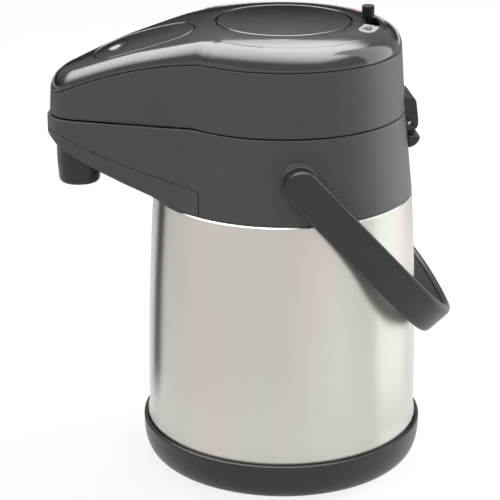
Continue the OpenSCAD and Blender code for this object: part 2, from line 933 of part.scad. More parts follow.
module lid_base() {
  color([0.4, 0.4, 0.41])
    difference() {
      union() {
        skin([
          ring(seam_r - wall_t - seat_c, -0.3 - wall_t - seat_c, plate_z),
          ring(seam_r - wall_t - seat_c, -0.3 - wall_t - seat_c, plate_z + plate_t)
        ]);
        translate([0, 0, seal_z + 0.8])
          tube(mouth_r + 6, mouth_r + 3.4, plate_z - seal_z);
        translate([0, 0, seal_z + 2.6])
          tube(mouth_r + 6, mouth_r - 4, plate_z - seal_z - 2);
      }
      translate([-7, hook_y - 1.3, seam_z - 5])
        cube([14, 12.5, 20]);
      for (s = [-1, 1])
        translate([screw_x * s, 0, screw_z])
          y_rod(head_r + slide_c, seam_r - 9, seam_r);
      for (a = [45 : 90 : 315])
        rotate([0, 0, a])
          translate([5.4, 0, seam_z - 5])
            cylinder(r = 1.8, h = 20);
    }
}

module lid_gasket() {
  color([0.75, 0.74, 0.7])
    translate([0, 0, seal_z + seat_c])
      tube(mouth_r + 3.3, mouth_r - 1.2, 2.6 - 2 * seat_c);
}

module valve_disc() {
  color([0.75, 0.74, 0.7])
    union() {
      translate([0, 0, plate_z - 1.2 - seat_c])
        cylinder(r = 9, h = 1.2);
      translate([0, 0, plate_z - 3])
        cylinder(r = 2.4, h = 2);
    }
}

bellows_z0 = plate_z + plate_t + seat_c;
bellows_z1 = top_z - 13.5;
bellows_n = 6;
bellows_r = button_r - 8.7;
fold_d = 5;
bellows_t = 1.2;
port_r = 8;

module bellows() {
  color([0.7, 0.7, 0.68])
    difference() {
      rotate_extrude()
        polygon(
          concat(
            [[0, bellows_z0], [bellows_r - 0.5, bellows_z0]],
            [
              for (i = [0 : bellows_n - 1])
                let (
                  h = (bellows_z1 - bellows_z0 - 2 * bellows_t) / bellows_n,
                  z = bellows_z0 + bellows_t + h * i
                )
                each [
                  [bellows_r, z],
                  [bellows_r, z + 0.3 * h],
                  [bellows_r - fold_d, z + 0.5 * h],
                  [bellows_r - fold_d, z + 0.7 * h]
                ]
            ],
            [
              [bellows_r - 0.5, bellows_z1 - bellows_t],
              [bellows_r - 0.5, bellows_z1],
              [0, bellows_z1]
            ]
          )
        );
      translate([0, 0, bellows_z0 + 1])
        cylinder(r = bellows_r - fold_d - bellows_t, h = bellows_z1 - bellows_z0 - 2);
      translate([0, 0, bellows_z0 - 1])
        cylinder(r = port_r, h = 3);
    }
}

spring_r = 15;
wire_r = 0.9;
spring_n = 6;
spring_z0 = bellows_z0 + 1 + wire_r + seat_c;
spring_z1 = bellows_z1 - 1 - wire_r - seat_c;
spring_seg = 18;

module return_spring() {
  m = spring_n * spring_seg;
  k = 6;
  rings = [
    for (i = [0 : m])
      let (a = 360 * i / spring_seg, z = spring_z0 + (spring_z1 - spring_z0) * i / m)
      for (j = [0 : k - 1])
        let (b = 360 * j / k)
        [(spring_r + wire_r * cos(b)) * cos(a), (spring_r + wire_r * cos(b)) * sin(a), z + wire_r * sin(b)]
  ];
  color("silver")
    polyhedron(
      points = rings,
      faces = concat(
        [[for (j = [k - 1 : -1 : 0]) j]],
        [
          for (i = [0 : m - 1])
            for (j = [0 : k - 1])
              each [
                [i * k + j, i * k + (j + 1) % k, (i + 1) * k + j],
                [i * k + (j + 1) % k, (i + 1) * k + (j + 1) % k, (i + 1) * k + j]
              ]
        ],
        [[for (j = [0 : k - 1]) m * k + j]]
      )
    );
}

guide_r = button_r + slide_c + 0.1;
skirt_z = top_z - 24;
guide_z = skirt_z + 2.3;
lock_z = top_z - 9;
guide_wall = 2.2;
shelf_t = 2.2;
shelf_w = 2.7;

module button_guide() {
  color([0.3, 0.3, 0.31])
    difference() {
      union() {
        translate([0, 0, guide_z])
          cylinder(r = guide_r + guide_wall, h = top_z - cover_t - 0.3 - guide_z);
        translate([0, 0, lock_z - shelf_t - 0.2])
          cylinder(r = lock_r + knob_r + shelf_w, h = shelf_t);
      }
      translate([0, 0, guide_z - 1])
        cylinder(r = guide_r, h = cut_h);
    }
}

dish_in = 2.2;
dish_steps = 10;
edge_round = 0.8;
button_t = 3;
skirt_t = 2.2;
stem_r = 12;
rim_w = 2;

module push_button() {
  color([0.25, 0.25, 0.26])
    rotate_extrude()
      polygon(
        concat(
          [
            for (i = [0 : dish_steps])
              let (u = i / dish_steps)
              [u * (button_r - dish_in), top_z - dish * (1 - u * u)]
          ],
          [
            for (a = [90 : -22.5 : 0])
              [button_r - edge_round * (1 - cos(a)), top_z - edge_round * (1 - sin(a))]
          ],
          [
            [button_r, skirt_z + rim_w],
            [button_r + rim_w, skirt_z + rim_w],
            [button_r + rim_w, skirt_z],
            [button_r - skirt_t, skirt_z],
            [button_r - skirt_t, top_z - dish - button_t],
            [0, top_z - dish - button_t]
          ]
        )
      );
}

module button_plunger() {
  color([0.4, 0.4, 0.41])
    union() {
      translate([0, 0, bellows_z1 + seat_c])
        cylinder(r = bellows_r - 4.5, h = 2);
      translate([0, 0, bellows_z1 + 1])
        cylinder(r = stem_r, h = top_z - dish - button_t - seat_c - bellows_z1 - 1);
    }
}

function lock_top(r) = top_z - cover_fall * pow((r - crown_r) / (edge_r - cover_round - crown_r), crown);

module lock_slider() {
  color([0.06, 0.06, 0.06])
    union() {
      rotate([0, 0, 90 - lock_a - lock_turn - 10])
        rotate_extrude(angle = lock_turn + 20)
          translate([guide_r + guide_wall + slide_c, lock_z])
            square([lock_r + knob_r + 1 - guide_r - guide_wall - slide_c, 1.6]);
      translate([lock_r * sin(lock_a), lock_r * cos(lock_a), lock_z + 0.8])
        rotate_extrude()
          polygon([
            [0, 0],
            [knob_r, 0],
            [knob_r, lock_top(lock_r) + knob_h - lock_z - 1.4],
            [knob_r - 0.6, lock_top(lock_r) + knob_h - lock_z - 0.8],
            [0, lock_top(lock_r) + knob_h - lock_z - 0.8]
          ]);
    }
}

dimple_y = tab_y - 0.28 * tab_len;
dimple_r = 9;
dimple_d = 1.6;

module latch_tab() {
  color([0.26, 0.26, 0.27])
    difference() {
      union() {
        intersection() {
          dome(0.5, -1);
          oval_prism(0);
          across(
            tab_w + 2,
            concat(
              crest_line(tab_t, tab_y - tab_len / 2 - 1, tab_y + tab_len / 2 + 1),
              [[tab_y + tab_len / 2 + 1, top_z + 5], [tab_y - tab_len / 2 - 1, top_z + 5]]
            )
          );
        }
        translate([0, tab_y, latch_z])
          x_rod(3.4, -8, 8);
        translate([-7, tab_y - 3, latch_z])
          cube([14, 6, crest_at(tab_y) - latch_z - 2]);
        translate([-5, hook_y + 2.4, seam_z - 6])
          cube([10, 3, crest_at(hook_y + 2.4) - seam_z + 6 - 2]);
        translate([-5, hook_y, seam_z - 6])
          cube([10, 4, 2]);
      }
      translate([0, tab_y, latch_z])
        x_rod(latch_pin_r + run_c, -tab_w, tab_w);
      translate([0, dimple_y, crest_at(dimple_y) - 0.5 - dimple_d + dimple_r])
        sphere(r = dimple_r);
    }
}

module latch_pin() {
  color("silver")
    translate([0, tab_y, latch_z])
      x_rod(latch_pin_r, -(tab_w / 2 + 6), tab_w / 2 + 6);
}

// The knuckle sits on the lid's wall with a thin flange around it.
flange_t = 1.3;
flange_w = 2;

module hinge_knuckle() {
  color([0.07, 0.07, 0.07])
    difference() {
      union() {
        difference() {
          union() {
            across(
              hinge_w,
              [
                [hinge_y - 2.6, hinge_z - 3.4],
                [hinge_y + 2.4, hinge_z - 3.6],
                [hinge_y + 4, hinge_z - 2.9],
                [hinge_y + 4.8, hinge_z - 1.2],
                [hinge_y + 4.9, hinge_z + 2],
                [hinge_y + 3.5, lid_bot + 3.4],
                [hinge_y + 3, lid_bot + 4.6],
                [hinge_y + 2, lid_bot + 5.6],
                [hinge_y + 0.6, lid_bot + 6.2],
                [hinge_y - 6, lid_bot + 6.9],
                [hinge_y - 6, lid_bot],
                [hinge_y - 4.2, lid_bot],
                [hinge_y - 4.4, hinge_z]
              ]
            );
            intersection() {
              lid_body(-flange_t, lid_bot, 0);
              translate([-hinge_w / 2 - flange_w, pocket_y, lid_bot])
                cube([hinge_w + 2 * flange_w, 20, 7.8]);
            }
          }
          lid_body(-seat_c, lid_bot - seat_c, 0);
        }
      }
      translate([-(hinge_w / 2 - 5), hinge_y - 20, hinge_z - 10])
        cube([hinge_w - 10, 40, 10 + 5.4]);
      translate([0, hinge_y, hinge_z])
        x_rod(hinge_pin_r, -hinge_w, hinge_w);
      for (s = [-1, 1])
        translate([screw_x * s, 0, screw_z])
          y_rod(screw_r + seat_c, seam_r - 4, seam_r + 2.8);
    }
}

pin_in = 2.4;

module hinge_pin() {
  color("silver")
    translate([0, hinge_y, hinge_z])
      x_rod(hinge_pin_r, -(hinge_w / 2 - pin_in), hinge_w / 2 - pin_in);
}

module knuckle_screws() {
  color("silver")
    for (s = [-1, 1])
      translate([screw_x * s, 0, screw_z]) {
        y_rod(screw_r, seam_r - 6, seam_r + 2.4);
        difference() {
          y_rod(head_r, seam_r - 6.6, seam_r - 5);
          translate([-0.4, seam_r - 7.4, -2])
            cube([0.8, 1.6, 4]);
        }
      }
}

// Handle. Its own level has the arms along Y, from the pivot to the grip.
strap_o = strap_t / 2;
arm_x = body_r + 2;
bend_x = arm_x - 6.7;
bend_y = 0.52 * handle_l;
grip_y = handle_l - strap_o;
n_bail = 18;
function bail(t) =
  let (
    a = [bend_x, bend_y],
    b = [bend_x - 4.3, grip_y - 12],
    c = [bend_x - 23, grip_y],
    d = [0, grip_y],
    u = 1 - t
  )
  u * u * u * a + 3 * u * u * t * b + 3 * u * t * t * c + t * t * t * d;
function bail_half(from) = concat(
  [for (s = [from : (1 - from) / 3 : 0.999]) [arm_x + (bend_x - arm_x) * s, bend_y * s]],
  [for (i = [0 : n_bail]) bail(i / n_bail)]
);
function bail_path(from) =
  let (h = bail_half(from), m = len(h))
  concat(h, [for (i = [m - 2 : -1 : 0]) [-h[i][0], h[i][1]]]);

// The path at a depth, counted outwards.
function bail_at(path, i, depth) =
  let (d = path[min(len(path) - 1, i + 1)] - path[max(0, i - 1)])
  path[i] + depth * [d[1], -d[0]] / norm(d);

// A strap along the bail, with one section for each point of the path. A section's points are depth and width.
module bail_sweep(path, sections) {
  m = len(path);
  k = len(sections[0]);
  pts = [
    for (i = [0 : m - 1])
      for (s = sections[i])
        let (p = bail_at(path, i, s[0]))
        [p[0], p[1], s[1]]
  ];
  polyhedron(
    points = pts,
    faces = concat(
      [[for (j = [k - 1 : -1 : 0]) j]],
      [
        for (i = [0 : m - 2])
          for (j = [0 : k - 1])
            each [
              [i * k + j, i * k + (j + 1) % k, (i + 1) * k + j],
              [i * k + (j + 1) % k, (i + 1) * k + (j + 1) % k, (i + 1) * k + j]
            ]
      ],
      [[for (j = [0 : k - 1]) (m - 1) * k + j]]
    )
  );
}

// A strap's section with round corners. Its outer ones are drawn out along the width to w.
function soft_box(a, b, r, w) = [
  for (q = [[1, 1, 0], [-1, 1, 90], [-1, -1, 180], [1, -1, 270]])
    let (h = q[0] > 0 ? w : r)
    for (t = [0 : 22.5 : 90])
      [q[0] * (a - r) + r * cos(q[2] + t), q[1] * (b - h) + h * sin(q[2] + t)]
];

hub_x = boss_x + slide_c;
pin_end = arm_x + 1;
recess_d = 2.2;
recess_w = strap_w / 2 - 2.6;
recess_path = bail_path(0.45);

// The handle hangs until the inner corner of its grip lies at the gap from the shell.
corner_r = 2.2;
crown_w = 3.8;
corner_y = handle_l - strap_t + corner_r;
corner_z = strap_w / 2 - corner_r;
function hang_at(r) = acos((r + corner_r + grip_gap) / norm([corner_y, corner_z])) - atan2(corner_z, corner_y);
function grip_low(a) = pivot_z - corner_y * sin(a) - corner_z * cos(a);
hang_a = hang_at(shell_r_at(grip_low(hang_at(body_r))));

module hung() {
  translate([0, 0, pivot_z])
    rotate([-hang_a, 0, 0])
      children();
}

// The arms end in half rounds about the pivot.
n_end = 7;
arm_dir = [bend_x - arm_x, bend_y] / norm([bend_x - arm_x, bend_y]);
function end_turn(i) = 84 * (1 - i / n_end);
handle_half = concat(
  [for (i = [0 : n_end - 1]) [arm_x, 0] - strap_w / 2 * sin(end_turn(i)) * arm_dir],
  bail_half(0)
);
handle_n = len(handle_half);
handle_path = concat(handle_half, [for (i = [handle_n - 2 : -1 : 0]) [-handle_half[i][0], handle_half[i][1]]]);
handle_sections = [
  for (i = [0 : 2 * handle_n - 2])
    let (e = min(i, 2 * handle_n - 2 - i), w = strap_w / 2 * cos(e < n_end ? end_turn(e) : 0))
    soft_box(strap_o, w, min(corner_r, 0.8 * w), min(crown_w, 0.8 * w))
];

module handle() {
  color([0.24, 0.24, 0.25])
    hung()
      difference() {
        union() {
          bail_sweep(handle_path, handle_sections);
          for (s = [-1, 1])
            x_rod(strap_w / 2 - 1.2, s > 0 ? hub_x : -arm_x, s > 0 ? arm_x : -hub_x);
        }
        linear_extrude(2 * recess_w, center = true)
          polygon([for (i = [0 : len(recess_path) - 1]) bail_at(recess_path, i, strap_o - recess_d)]);
        for (s = [-1, 1])
          x_rod(pivot_r, s > 0 ? hub_x - 1 : -pin_end, s > 0 ? pin_end : -hub_x + 1);
      }
}

function pad_path() =
  let (h = [for (i = [3 : n_bail]) bail(i / n_bail)], m = len(h))
  concat(h, [for (i = [m - 2 : -1 : 0]) [-h[i][0], h[i][1]]]);

module grip_pad() {
  color([0.05, 0.05, 0.05])
    hung()
      bail_sweep(
        pad_path(),
        [
          for (p = pad_path())
            [
              [strap_o - recess_d - seat_c, -recess_w + seat_c],
              [strap_o - recess_d - seat_c, recess_w - seat_c],
              [-strap_o + 1.2, recess_w - seat_c],
              [-strap_o + 0.8, recess_w - 1],
              [-strap_o + 0.8, -recess_w + 1],
              [-strap_o + 1.2, -recess_w + seat_c]
            ]
        ]
      );
}

clip_x = boss_in - 0.3;

module pivot_pins() {
  color("silver")
    hung()
      for (s = [-1, 1])
        rotate([0, 90 * s, 0])
          rotate_extrude()
            polygon([
              [0, clip_x - 4],
              [pivot_r - 0.6, clip_x - 4],
              [pivot_r, clip_x - 3.4],
              [pivot_r, clip_x - 1.6],
              [pivot_r - 0.8, clip_x - 1.6],
              [pivot_r - 0.8, clip_x],
              [pivot_r, clip_x],
              [pivot_r, pin_end],
              [0, pin_end]
            ]);
}

module pin_clips() {
  color([0.5, 0.5, 0.52])
    hung()
      for (s = [-1, 1])
        rotate([0, 90 * s, 0])
          difference() {
            translate([0, 0, clip_x - 1.55])
              tube(pivot_r + 3, pivot_r - 0.75, 1.5);
            translate([0, -1.6, clip_x - 3])
              cube([20, 3.2, 6]);
          }
}

foot_pad();
base_cup();
outer_shell();
inner_vessel();
vessel_shoulder();
vessel_neck();
shoulder_collar();
spout_under_cover();
spout_nozzle();
lift_tube();
outlet_elbow();
delivery_tube();
neck_ring();
mouth_gasket();
hinge_bracket();
bracket_screws();
latch_catch();
lid_shell();
top_cover();
lid_base();
lid_gasket();
valve_disc();
bellows();
return_spring();
button_guide();
hinge_knuckle();
hinge_pin();
knuckle_screws();
latch_pin();
push_button();
button_plunger();
lock_slider();
latch_tab();
handle();
grip_pad();
pivot_pins();
pin_clips();
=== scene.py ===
import math

import bpy
from mathutils import Matrix, Vector
from mathutils.bvhtree import BVHTree
from mathutils.geometry import delaunay_2d_cdt
from mathutils.kdtree import KDTree


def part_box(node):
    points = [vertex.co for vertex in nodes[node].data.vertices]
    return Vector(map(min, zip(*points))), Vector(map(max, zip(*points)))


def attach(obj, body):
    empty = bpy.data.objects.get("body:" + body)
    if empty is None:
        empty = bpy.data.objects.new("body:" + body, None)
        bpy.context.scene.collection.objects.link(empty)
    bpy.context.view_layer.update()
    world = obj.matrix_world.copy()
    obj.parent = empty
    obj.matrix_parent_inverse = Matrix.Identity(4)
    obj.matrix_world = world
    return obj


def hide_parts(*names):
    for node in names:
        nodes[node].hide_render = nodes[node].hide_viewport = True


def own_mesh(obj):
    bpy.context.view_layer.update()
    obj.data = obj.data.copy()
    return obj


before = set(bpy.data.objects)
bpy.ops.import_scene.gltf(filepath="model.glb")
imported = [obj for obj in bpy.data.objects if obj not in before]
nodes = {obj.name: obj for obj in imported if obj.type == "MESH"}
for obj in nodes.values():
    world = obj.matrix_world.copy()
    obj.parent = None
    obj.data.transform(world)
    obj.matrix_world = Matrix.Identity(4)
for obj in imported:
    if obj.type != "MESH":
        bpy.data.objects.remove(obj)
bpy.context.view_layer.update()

# The photographer's camera. It stands to the flask's side, a quarter of a metre above the lid,
# on a long lens, and looks down at the steel body.
CAMERA_AZIMUTH = math.radians(83)
CAMERA_DISTANCE = 1.0597
CAMERA_HEIGHT = 0.5086
CAMERA_PITCH = 0.3474
CAMERA_YAW = -0.0180
CAMERA_LENS = 136.84

away = Vector((math.sin(CAMERA_AZIMUTH), -math.cos(CAMERA_AZIMUTH), 0))
beside = Vector((math.cos(CAMERA_AZIMUTH), math.sin(CAMERA_AZIMUTH), 0))
upward = Vector((0, 0, 1))
right = math.cos(CAMERA_YAW) * beside + math.sin(CAMERA_YAW) * away
ahead = math.sin(CAMERA_YAW) * beside - math.cos(CAMERA_YAW) * away
forward = math.cos(CAMERA_PITCH) * ahead - math.sin(CAMERA_PITCH) * upward
top = math.sin(CAMERA_PITCH) * ahead + math.cos(CAMERA_PITCH) * upward

camera = bpy.data.objects.new("camera", bpy.data.cameras.new("camera"))
camera.data.sensor_width = 36
camera.data.lens = CAMERA_LENS
camera.data.clip_start = 0.05
camera.matrix_world = Matrix((right, top, -forward)).transposed().to_4x4()
camera.location = CAMERA_DISTANCE * away + CAMERA_HEIGHT * upward
bpy.context.scene.collection.objects.link(camera)
bpy.context.scene.camera = camera
bpy.context.scene.view_settings.view_transform = "Standard"


# The studio: a white paper sweep that ends low, and a dark room above it.
# Nothing here is part of the flask.
class Wire:
    """A socket of a material. Arithmetic on it adds Math nodes, and add() any other node."""

    def __init__(self, socket):
        self.socket = socket

    def add(self, kind, settings=None, inputs=None, output=0):
        tree = self.socket.id_data
        made = tree.nodes.new("ShaderNode" + kind)
        for name, value in (settings or {}).items():
            setattr(made, name, value)
        for name, value in (inputs or {}).items():
            if isinstance(value, Wire):
                tree.links.new(value.socket, made.inputs[name])
            else:
                made.inputs[name].default_value = value
        return Wire(made.outputs[output])

    def into(self, node, name):
        self.socket.id_data.links.new(self.socket, node.inputs[name])

    def math(self, operation, *values):
        return self.add("Math", {"operation": operation}, dict(enumerate(values)))

    def __add__(self, other):
        return self.math("ADD", self, other)

    def __sub__(self, other):
        return self.math("SUBTRACT", self, other)

    def __rsub__(self, other):
        return self.math("SUBTRACT", other, self)

    def __mul__(self, other):
        return self.math("MULTIPLY", self, other)

    def __truediv__(self, other):
        return self.math("DIVIDE", self, other)

    __radd__ = __add__
    __rmul__ = __mul__

    def along(self, direction):
        """How far a place lies along a direction."""
        ends = {0: self, 1: tuple(direction)}
        return self.add("VectorMath", {"operation": "DOT_PRODUCT"}, ends, "Value")

    def step(self, low, high):
        """0 at low, 1 at high, and a soft change between them."""
        span = {"Value": self, "From Min": low, "From Max": high}
        return self.add("MapRange", {"interpolation_type": "SMOOTHSTEP"}, span)

    def mix(self, first, second):
        """The first colour where this is 0, the second where it is 1."""
        colours = {"Factor": self, 6: first, 7: second}
        return self.add("Mix", {"data_type": "RGBA"}, colours, 2)


WHITE = (1, 1, 1, 1)
AMBIENT = (0.46, 0.46, 0.46, 1)
BLACK = (0, 0, 0, 1)
FAR_WALL = (0.30, 0.30, 0.30, 1)
NEAR_ROOM = (0.62, 0.62, 0.62, 1)
SWEEP_END = 0.04
NEAR_FADE = (-0.4, 0.6)
FAR_WALL_FADE = (0.13, 0.36)

world = bpy.data.worlds.new("studio")
world.use_nodes = True
bpy.context.scene.world = world
backdrop = world.node_tree.nodes["Background"]
rays = Wire(backdrop.outputs[0])
seen = rays.add("LightPath", output="Is Camera Ray")
seen = seen.math("MAXIMUM", seen, rays.add("LightPath", output="Is Transmission Ray"))
mirrored = rays.add("LightPath", output="Is Glossy Ray")
towards = rays.add("TexCoord", output="Generated")
height = rays.add("SeparateXYZ", {}, {"Vector": towards}, "Z")
far_wall = height.step(*FAR_WALL_FADE).mix(BLACK, FAR_WALL)
room = towards.along(away).step(*NEAR_FADE).mix(far_wall, NEAR_ROOM)
reflected = height.step(0.0, SWEEP_END).mix(WHITE, room)
seen.mix(mirrored.mix(AMBIENT, reflected), WHITE).into(backdrop, "Color")

# The paper in the scene. A mirror shows it dark far behind the flask, and in front of it
# a little dim, apart from the flask's foot and one strip on the right.
FLOOR_SIZE = 6
FLOOR_DROP = 0.0002
PAPER = (0.86, 0.86, 0.86, 1)
SHADOW_SHARE = 0.15
FAR_DIM = 0.88
FAR_FADE = (0.3, 0.8)
FRONT_DIM = 0.13
FRONT_FADE = (0.0, 0.3)
FOOT_FADE = (0.14, 0.26)
STRIP_LIFT = 1.7
STRIP_START = (0.05, 0.65)
STRIP_DROP = 1.2
STRIP_END = (0.75, 0.95)
half = FLOOR_SIZE / 2
floor_mesh = bpy.data.meshes.new("floor")
corners = [(-half, -half, 0), (half, -half, 0), (half, half, 0), (-half, half, 0)]
floor_mesh.from_pydata(corners, [], [(0, 1, 2, 3)])
floor = bpy.data.objects.new("floor", floor_mesh)
floor.location.z = -FLOOR_DROP
bpy.context.scene.collection.objects.link(floor)
paper = bpy.data.materials.new("paper sweep")
paper.use_nodes = True
floor_mesh.materials.append(paper)
sheet_out = paper.node_tree.nodes["Material Output"]
paper.node_tree.nodes.remove(paper.node_tree.nodes["Principled BSDF"])
start = Wire(sheet_out.inputs[0])
matte = start.add("BsdfDiffuse", {}, {"Color": PAPER})
spot = start.add("TexCoord", output="Object")
behind = spot.along(-away)
glossy = start.add("LightPath", output="Is Glossy Ray")
level = spot.add("VectorMath", {"operation": "NORMALIZE"}, {0: spot})
side = level.along(beside)
apart = spot.add("VectorMath", {"operation": "LENGTH"}, {0: spot}, "Value").step(*FOOT_FADE)
uneven = apart * (1 - STRIP_LIFT * side.step(*STRIP_START) + STRIP_DROP * side.step(*STRIP_END))
front_dim = FRONT_DIM * uneven * (1 - behind.step(*FRONT_FADE))
unlit = glossy * (FAR_DIM * behind.step(*FAR_FADE) + front_dim)
white = start.add("Emission", {}, {"Color": 1 - unlit, "Strength": 1.0})
direct = start.add("LightPath", output="Is Camera Ray")
direct = direct.math("MAXIMUM", direct, glossy)
share = direct * (1 - SHADOW_SHARE)
start.add("MixShader", {}, {0: share, 1: matte, 2: white}).into(sheet_out, "Surface")


def aside(turn):
    """The level direction at a turn, in degrees, to the right of the camera's."""
    return math.cos(math.radians(turn)) * away + math.sin(math.radians(turn)) * beside


def softbox(name, place, aim, width, height, watts):
    """A rectangular studio light that shines from place towards aim, and isn't mirrored."""
    data = bpy.data.lights.new(name, "AREA")
    data.shape = "RECTANGLE"
    data.size = width
    data.size_y = height
    data.energy = watts
    lamp = bpy.data.objects.new(name, data)
    lamp.location = place
    lamp.rotation_euler = (Vector(aim) - Vector(place)).to_track_quat("-Z", "Y").to_euler()
    lamp.visible_camera = False
    lamp.visible_glossy = False
    bpy.context.scene.collection.objects.link(lamp)


BOX_HEIGHT = 1.26
BOX_FAR = -2.72
BOX_NEAR = 1.75
BOX_SPREAD_LEFT = 0.42
BOX_SPREAD_RIGHT = 0.25
BOX_LEFT = 5
BOX_RIGHT = 1.45
BOX_FAR_SOFT = -2.35
BOX_FAR_SHARE = 0.27
BOX_DEEP_FADE = (-2.0, 0.1)
BOX_LEFT_SHARE = 0.35
BOX_WIDE_FADE = (-3.2, -0.6)
BOX_EDGE_FADE = (0.4, 1.0)
BOX_BRIGHTNESS = 6.8


def card(name, points, brightness, fades=False):
    """A flat card that shows only in reflections, as bright as this. One that fades
    is dimmer on the side away from the camera, and ends softly everywhere."""
    mesh = bpy.data.meshes.new(name)
    mesh.from_pydata(points, [], [tuple(range(len(points)))])
    piece = bpy.data.objects.new(name, mesh)
    bpy.context.scene.collection.objects.link(piece)
    piece.visible_camera = False
    piece.visible_diffuse = False
    piece.visible_shadow = False
    sheet = bpy.data.materials.new(name)
    sheet.use_nodes = True
    out = sheet.node_tree.nodes["Material Output"]
    sheet.node_tree.nodes.remove(sheet.node_tree.nodes["Principled BSDF"])
    glow = Wire(out.inputs[0])
    if fades:
        place = glow.add("TexCoord", output="Object")
        deep = place.along(away)
        wide = place.along(beside)
        reach = deep - BOX_FAR
        across = wide.math("MAXIMUM", wide / BOX_SPREAD_RIGHT, (0 - wide) / BOX_SPREAD_LEFT)
        across = across / (reach * reach)
        across = across.math("MAXIMUM", across, wide / BOX_RIGHT)
        brightness = brightness * (BOX_FAR_SHARE + (1 - BOX_FAR_SHARE) * deep.step(*BOX_DEEP_FADE))
        brightness = brightness * (BOX_LEFT_SHARE + (1 - BOX_LEFT_SHARE) * wide.step(*BOX_WIDE_FADE))
        shown = deep.step(BOX_FAR, BOX_FAR_SOFT) * (1 - deep.step(0.0, BOX_NEAR))
        shown = shown * (1 - across.step(*BOX_EDGE_FADE))
    light = glow.add("Emission", {}, {"Color": WHITE, "Strength": brightness})
    if fades:
        light = glow.add("MixShader", {}, {0: shown, 1: glow.add("BsdfTransparent"), 2: light})
    light.into(out, "Surface")
    mesh.materials.append(sheet)


def upright_card(name, turn, width, distance, low, high, brightness):
    """A card on edge, at a turn to the right of the camera's direction."""
    out = aside(turn)
    along = Vector((-out.y, out.x, 0)) * width / 2
    foot = out * distance
    corners = [foot - along + low * upward, foot + along + low * upward]
    corners += [foot + along + high * upward, foot - along + high * upward]
    card(name, corners, brightness)


rim_place = 1.1 * aside(118) + 0.35 * upward
front_place = 1.5 * aside(-25) + 0.9 * upward
softbox("overhead", (-0.45, 0.0, 1.3), (-0.1, 0.0, 0.0), width=1.2, height=1.4, watts=13)
softbox("rim", rim_place, (0, 0, 0.17), width=0.5, height=0.7, watts=30)
softbox("front", front_place, (0, 0, 0.12), width=1.0, height=1.0, watts=5)

box_edge = [BOX_FAR * away - BOX_LEFT * beside, BOX_FAR * away + BOX_RIGHT * beside]
box_edge += [BOX_NEAR * away + BOX_RIGHT * beside, BOX_NEAR * away - BOX_LEFT * beside]
card("overhead_card", [p + BOX_HEIGHT * upward for p in box_edge], BOX_BRIGHTNESS, fades=True)
upright_card("right_card", 100, width=0.30, distance=0.41, low=0.2, high=1.0, brightness=1.9)
upright_card("back_card", 132, width=0.5, distance=1.1, low=0.0, high=0.7, brightness=0.3)
upright_card("steel_card", 88, width=0.11, distance=0.178, low=0.0, high=0.19, brightness=1.5)
upright_card("black_card", -109, width=0.045, distance=0.168, low=0.0, high=0.19, brightness=0.0)


# The base cup and the rubber foot under it. The cup is a black polypropylene moulding,
# pressed over the foot of the steel shell; the foot is let into its underside.
def finish(name, fixed):
    """A material with these fixed inputs; returns it, its shader and its place in metres."""
    material = bpy.data.materials.new(name)
    material.use_nodes = True
    shader = material.node_tree.nodes["Principled BSDF"]
    for socket, value in fixed.items():
        shader.inputs[socket].default_value = value
    place = Wire(shader.outputs[0]).add("TexCoord", output="Object")
    return material, shader, place


def noise(place, size, detail=2.0):
    """Cloudy values from 0 to 1 with features of a size in metres."""
    return place.add("TexNoise", {}, {"Vector": place, "Scale": 1 / size, "Detail": detail})


def moulded(name, shade, rough, grain, depth, extra=None):
    """Moulded plastic: an even colour, a little cloudiness, and a grain of a size and depth."""
    material, shader, place = finish(name, extra or {})
    cloud = noise(place, 0.03)
    light = tuple(1.1 * c for c in shade) + (1,)
    dark = tuple(0.9 * c for c in shade) + (1,)
    cloud.mix(dark, light).into(shader, "Base Color")
    pores = noise(place, grain, 3)
    (rough - 0.05 + 0.05 * cloud + 0.05 * pores).into(shader, "Roughness")
    bump = {"Strength": 1.0, "Distance": depth, "Height": pores}
    place.add("Bump", {}, bump).into(shader, "Normal")
    return material


def dress(name, material, edge=0.0003, angle=32):
    """A CAD piece's material, with its mesh joined up and its hard edges rounded."""
    piece = nodes[name]
    piece.data.materials.clear()
    piece.data.materials.append(material)
    piece.data.shade_smooth()
    weld = piece.modifiers.new("weld", "WELD")
    weld.merge_threshold = 0.000002
    if edge:
        bevel = piece.modifiers.new("edge", "BEVEL")
        bevel.width = edge
        bevel.segments = 2
        bevel.limit_method = "ANGLE"
        bevel.angle_limit = math.radians(angle)
        bevel.use_clamp_overlap = False
        normals = piece.modifiers.new("normals", "WEIGHTED_NORMAL")
        normals.keep_sharp = True
    else:
        split = piece.modifiers.new("split", "EDGE_SPLIT")
        split.split_angle = math.radians(angle)
    return piece


black = moulded("black satin plastic", (0.010, 0.010, 0.0104), 0.34, 0.0008, 0.00002)
dark_rubber = moulded("dark rubber", (0.018, 0.018, 0.018), 0.62, 0.0007, 0.00006)
dress("base_cup", black)
dress("foot_pad", dark_rubber)


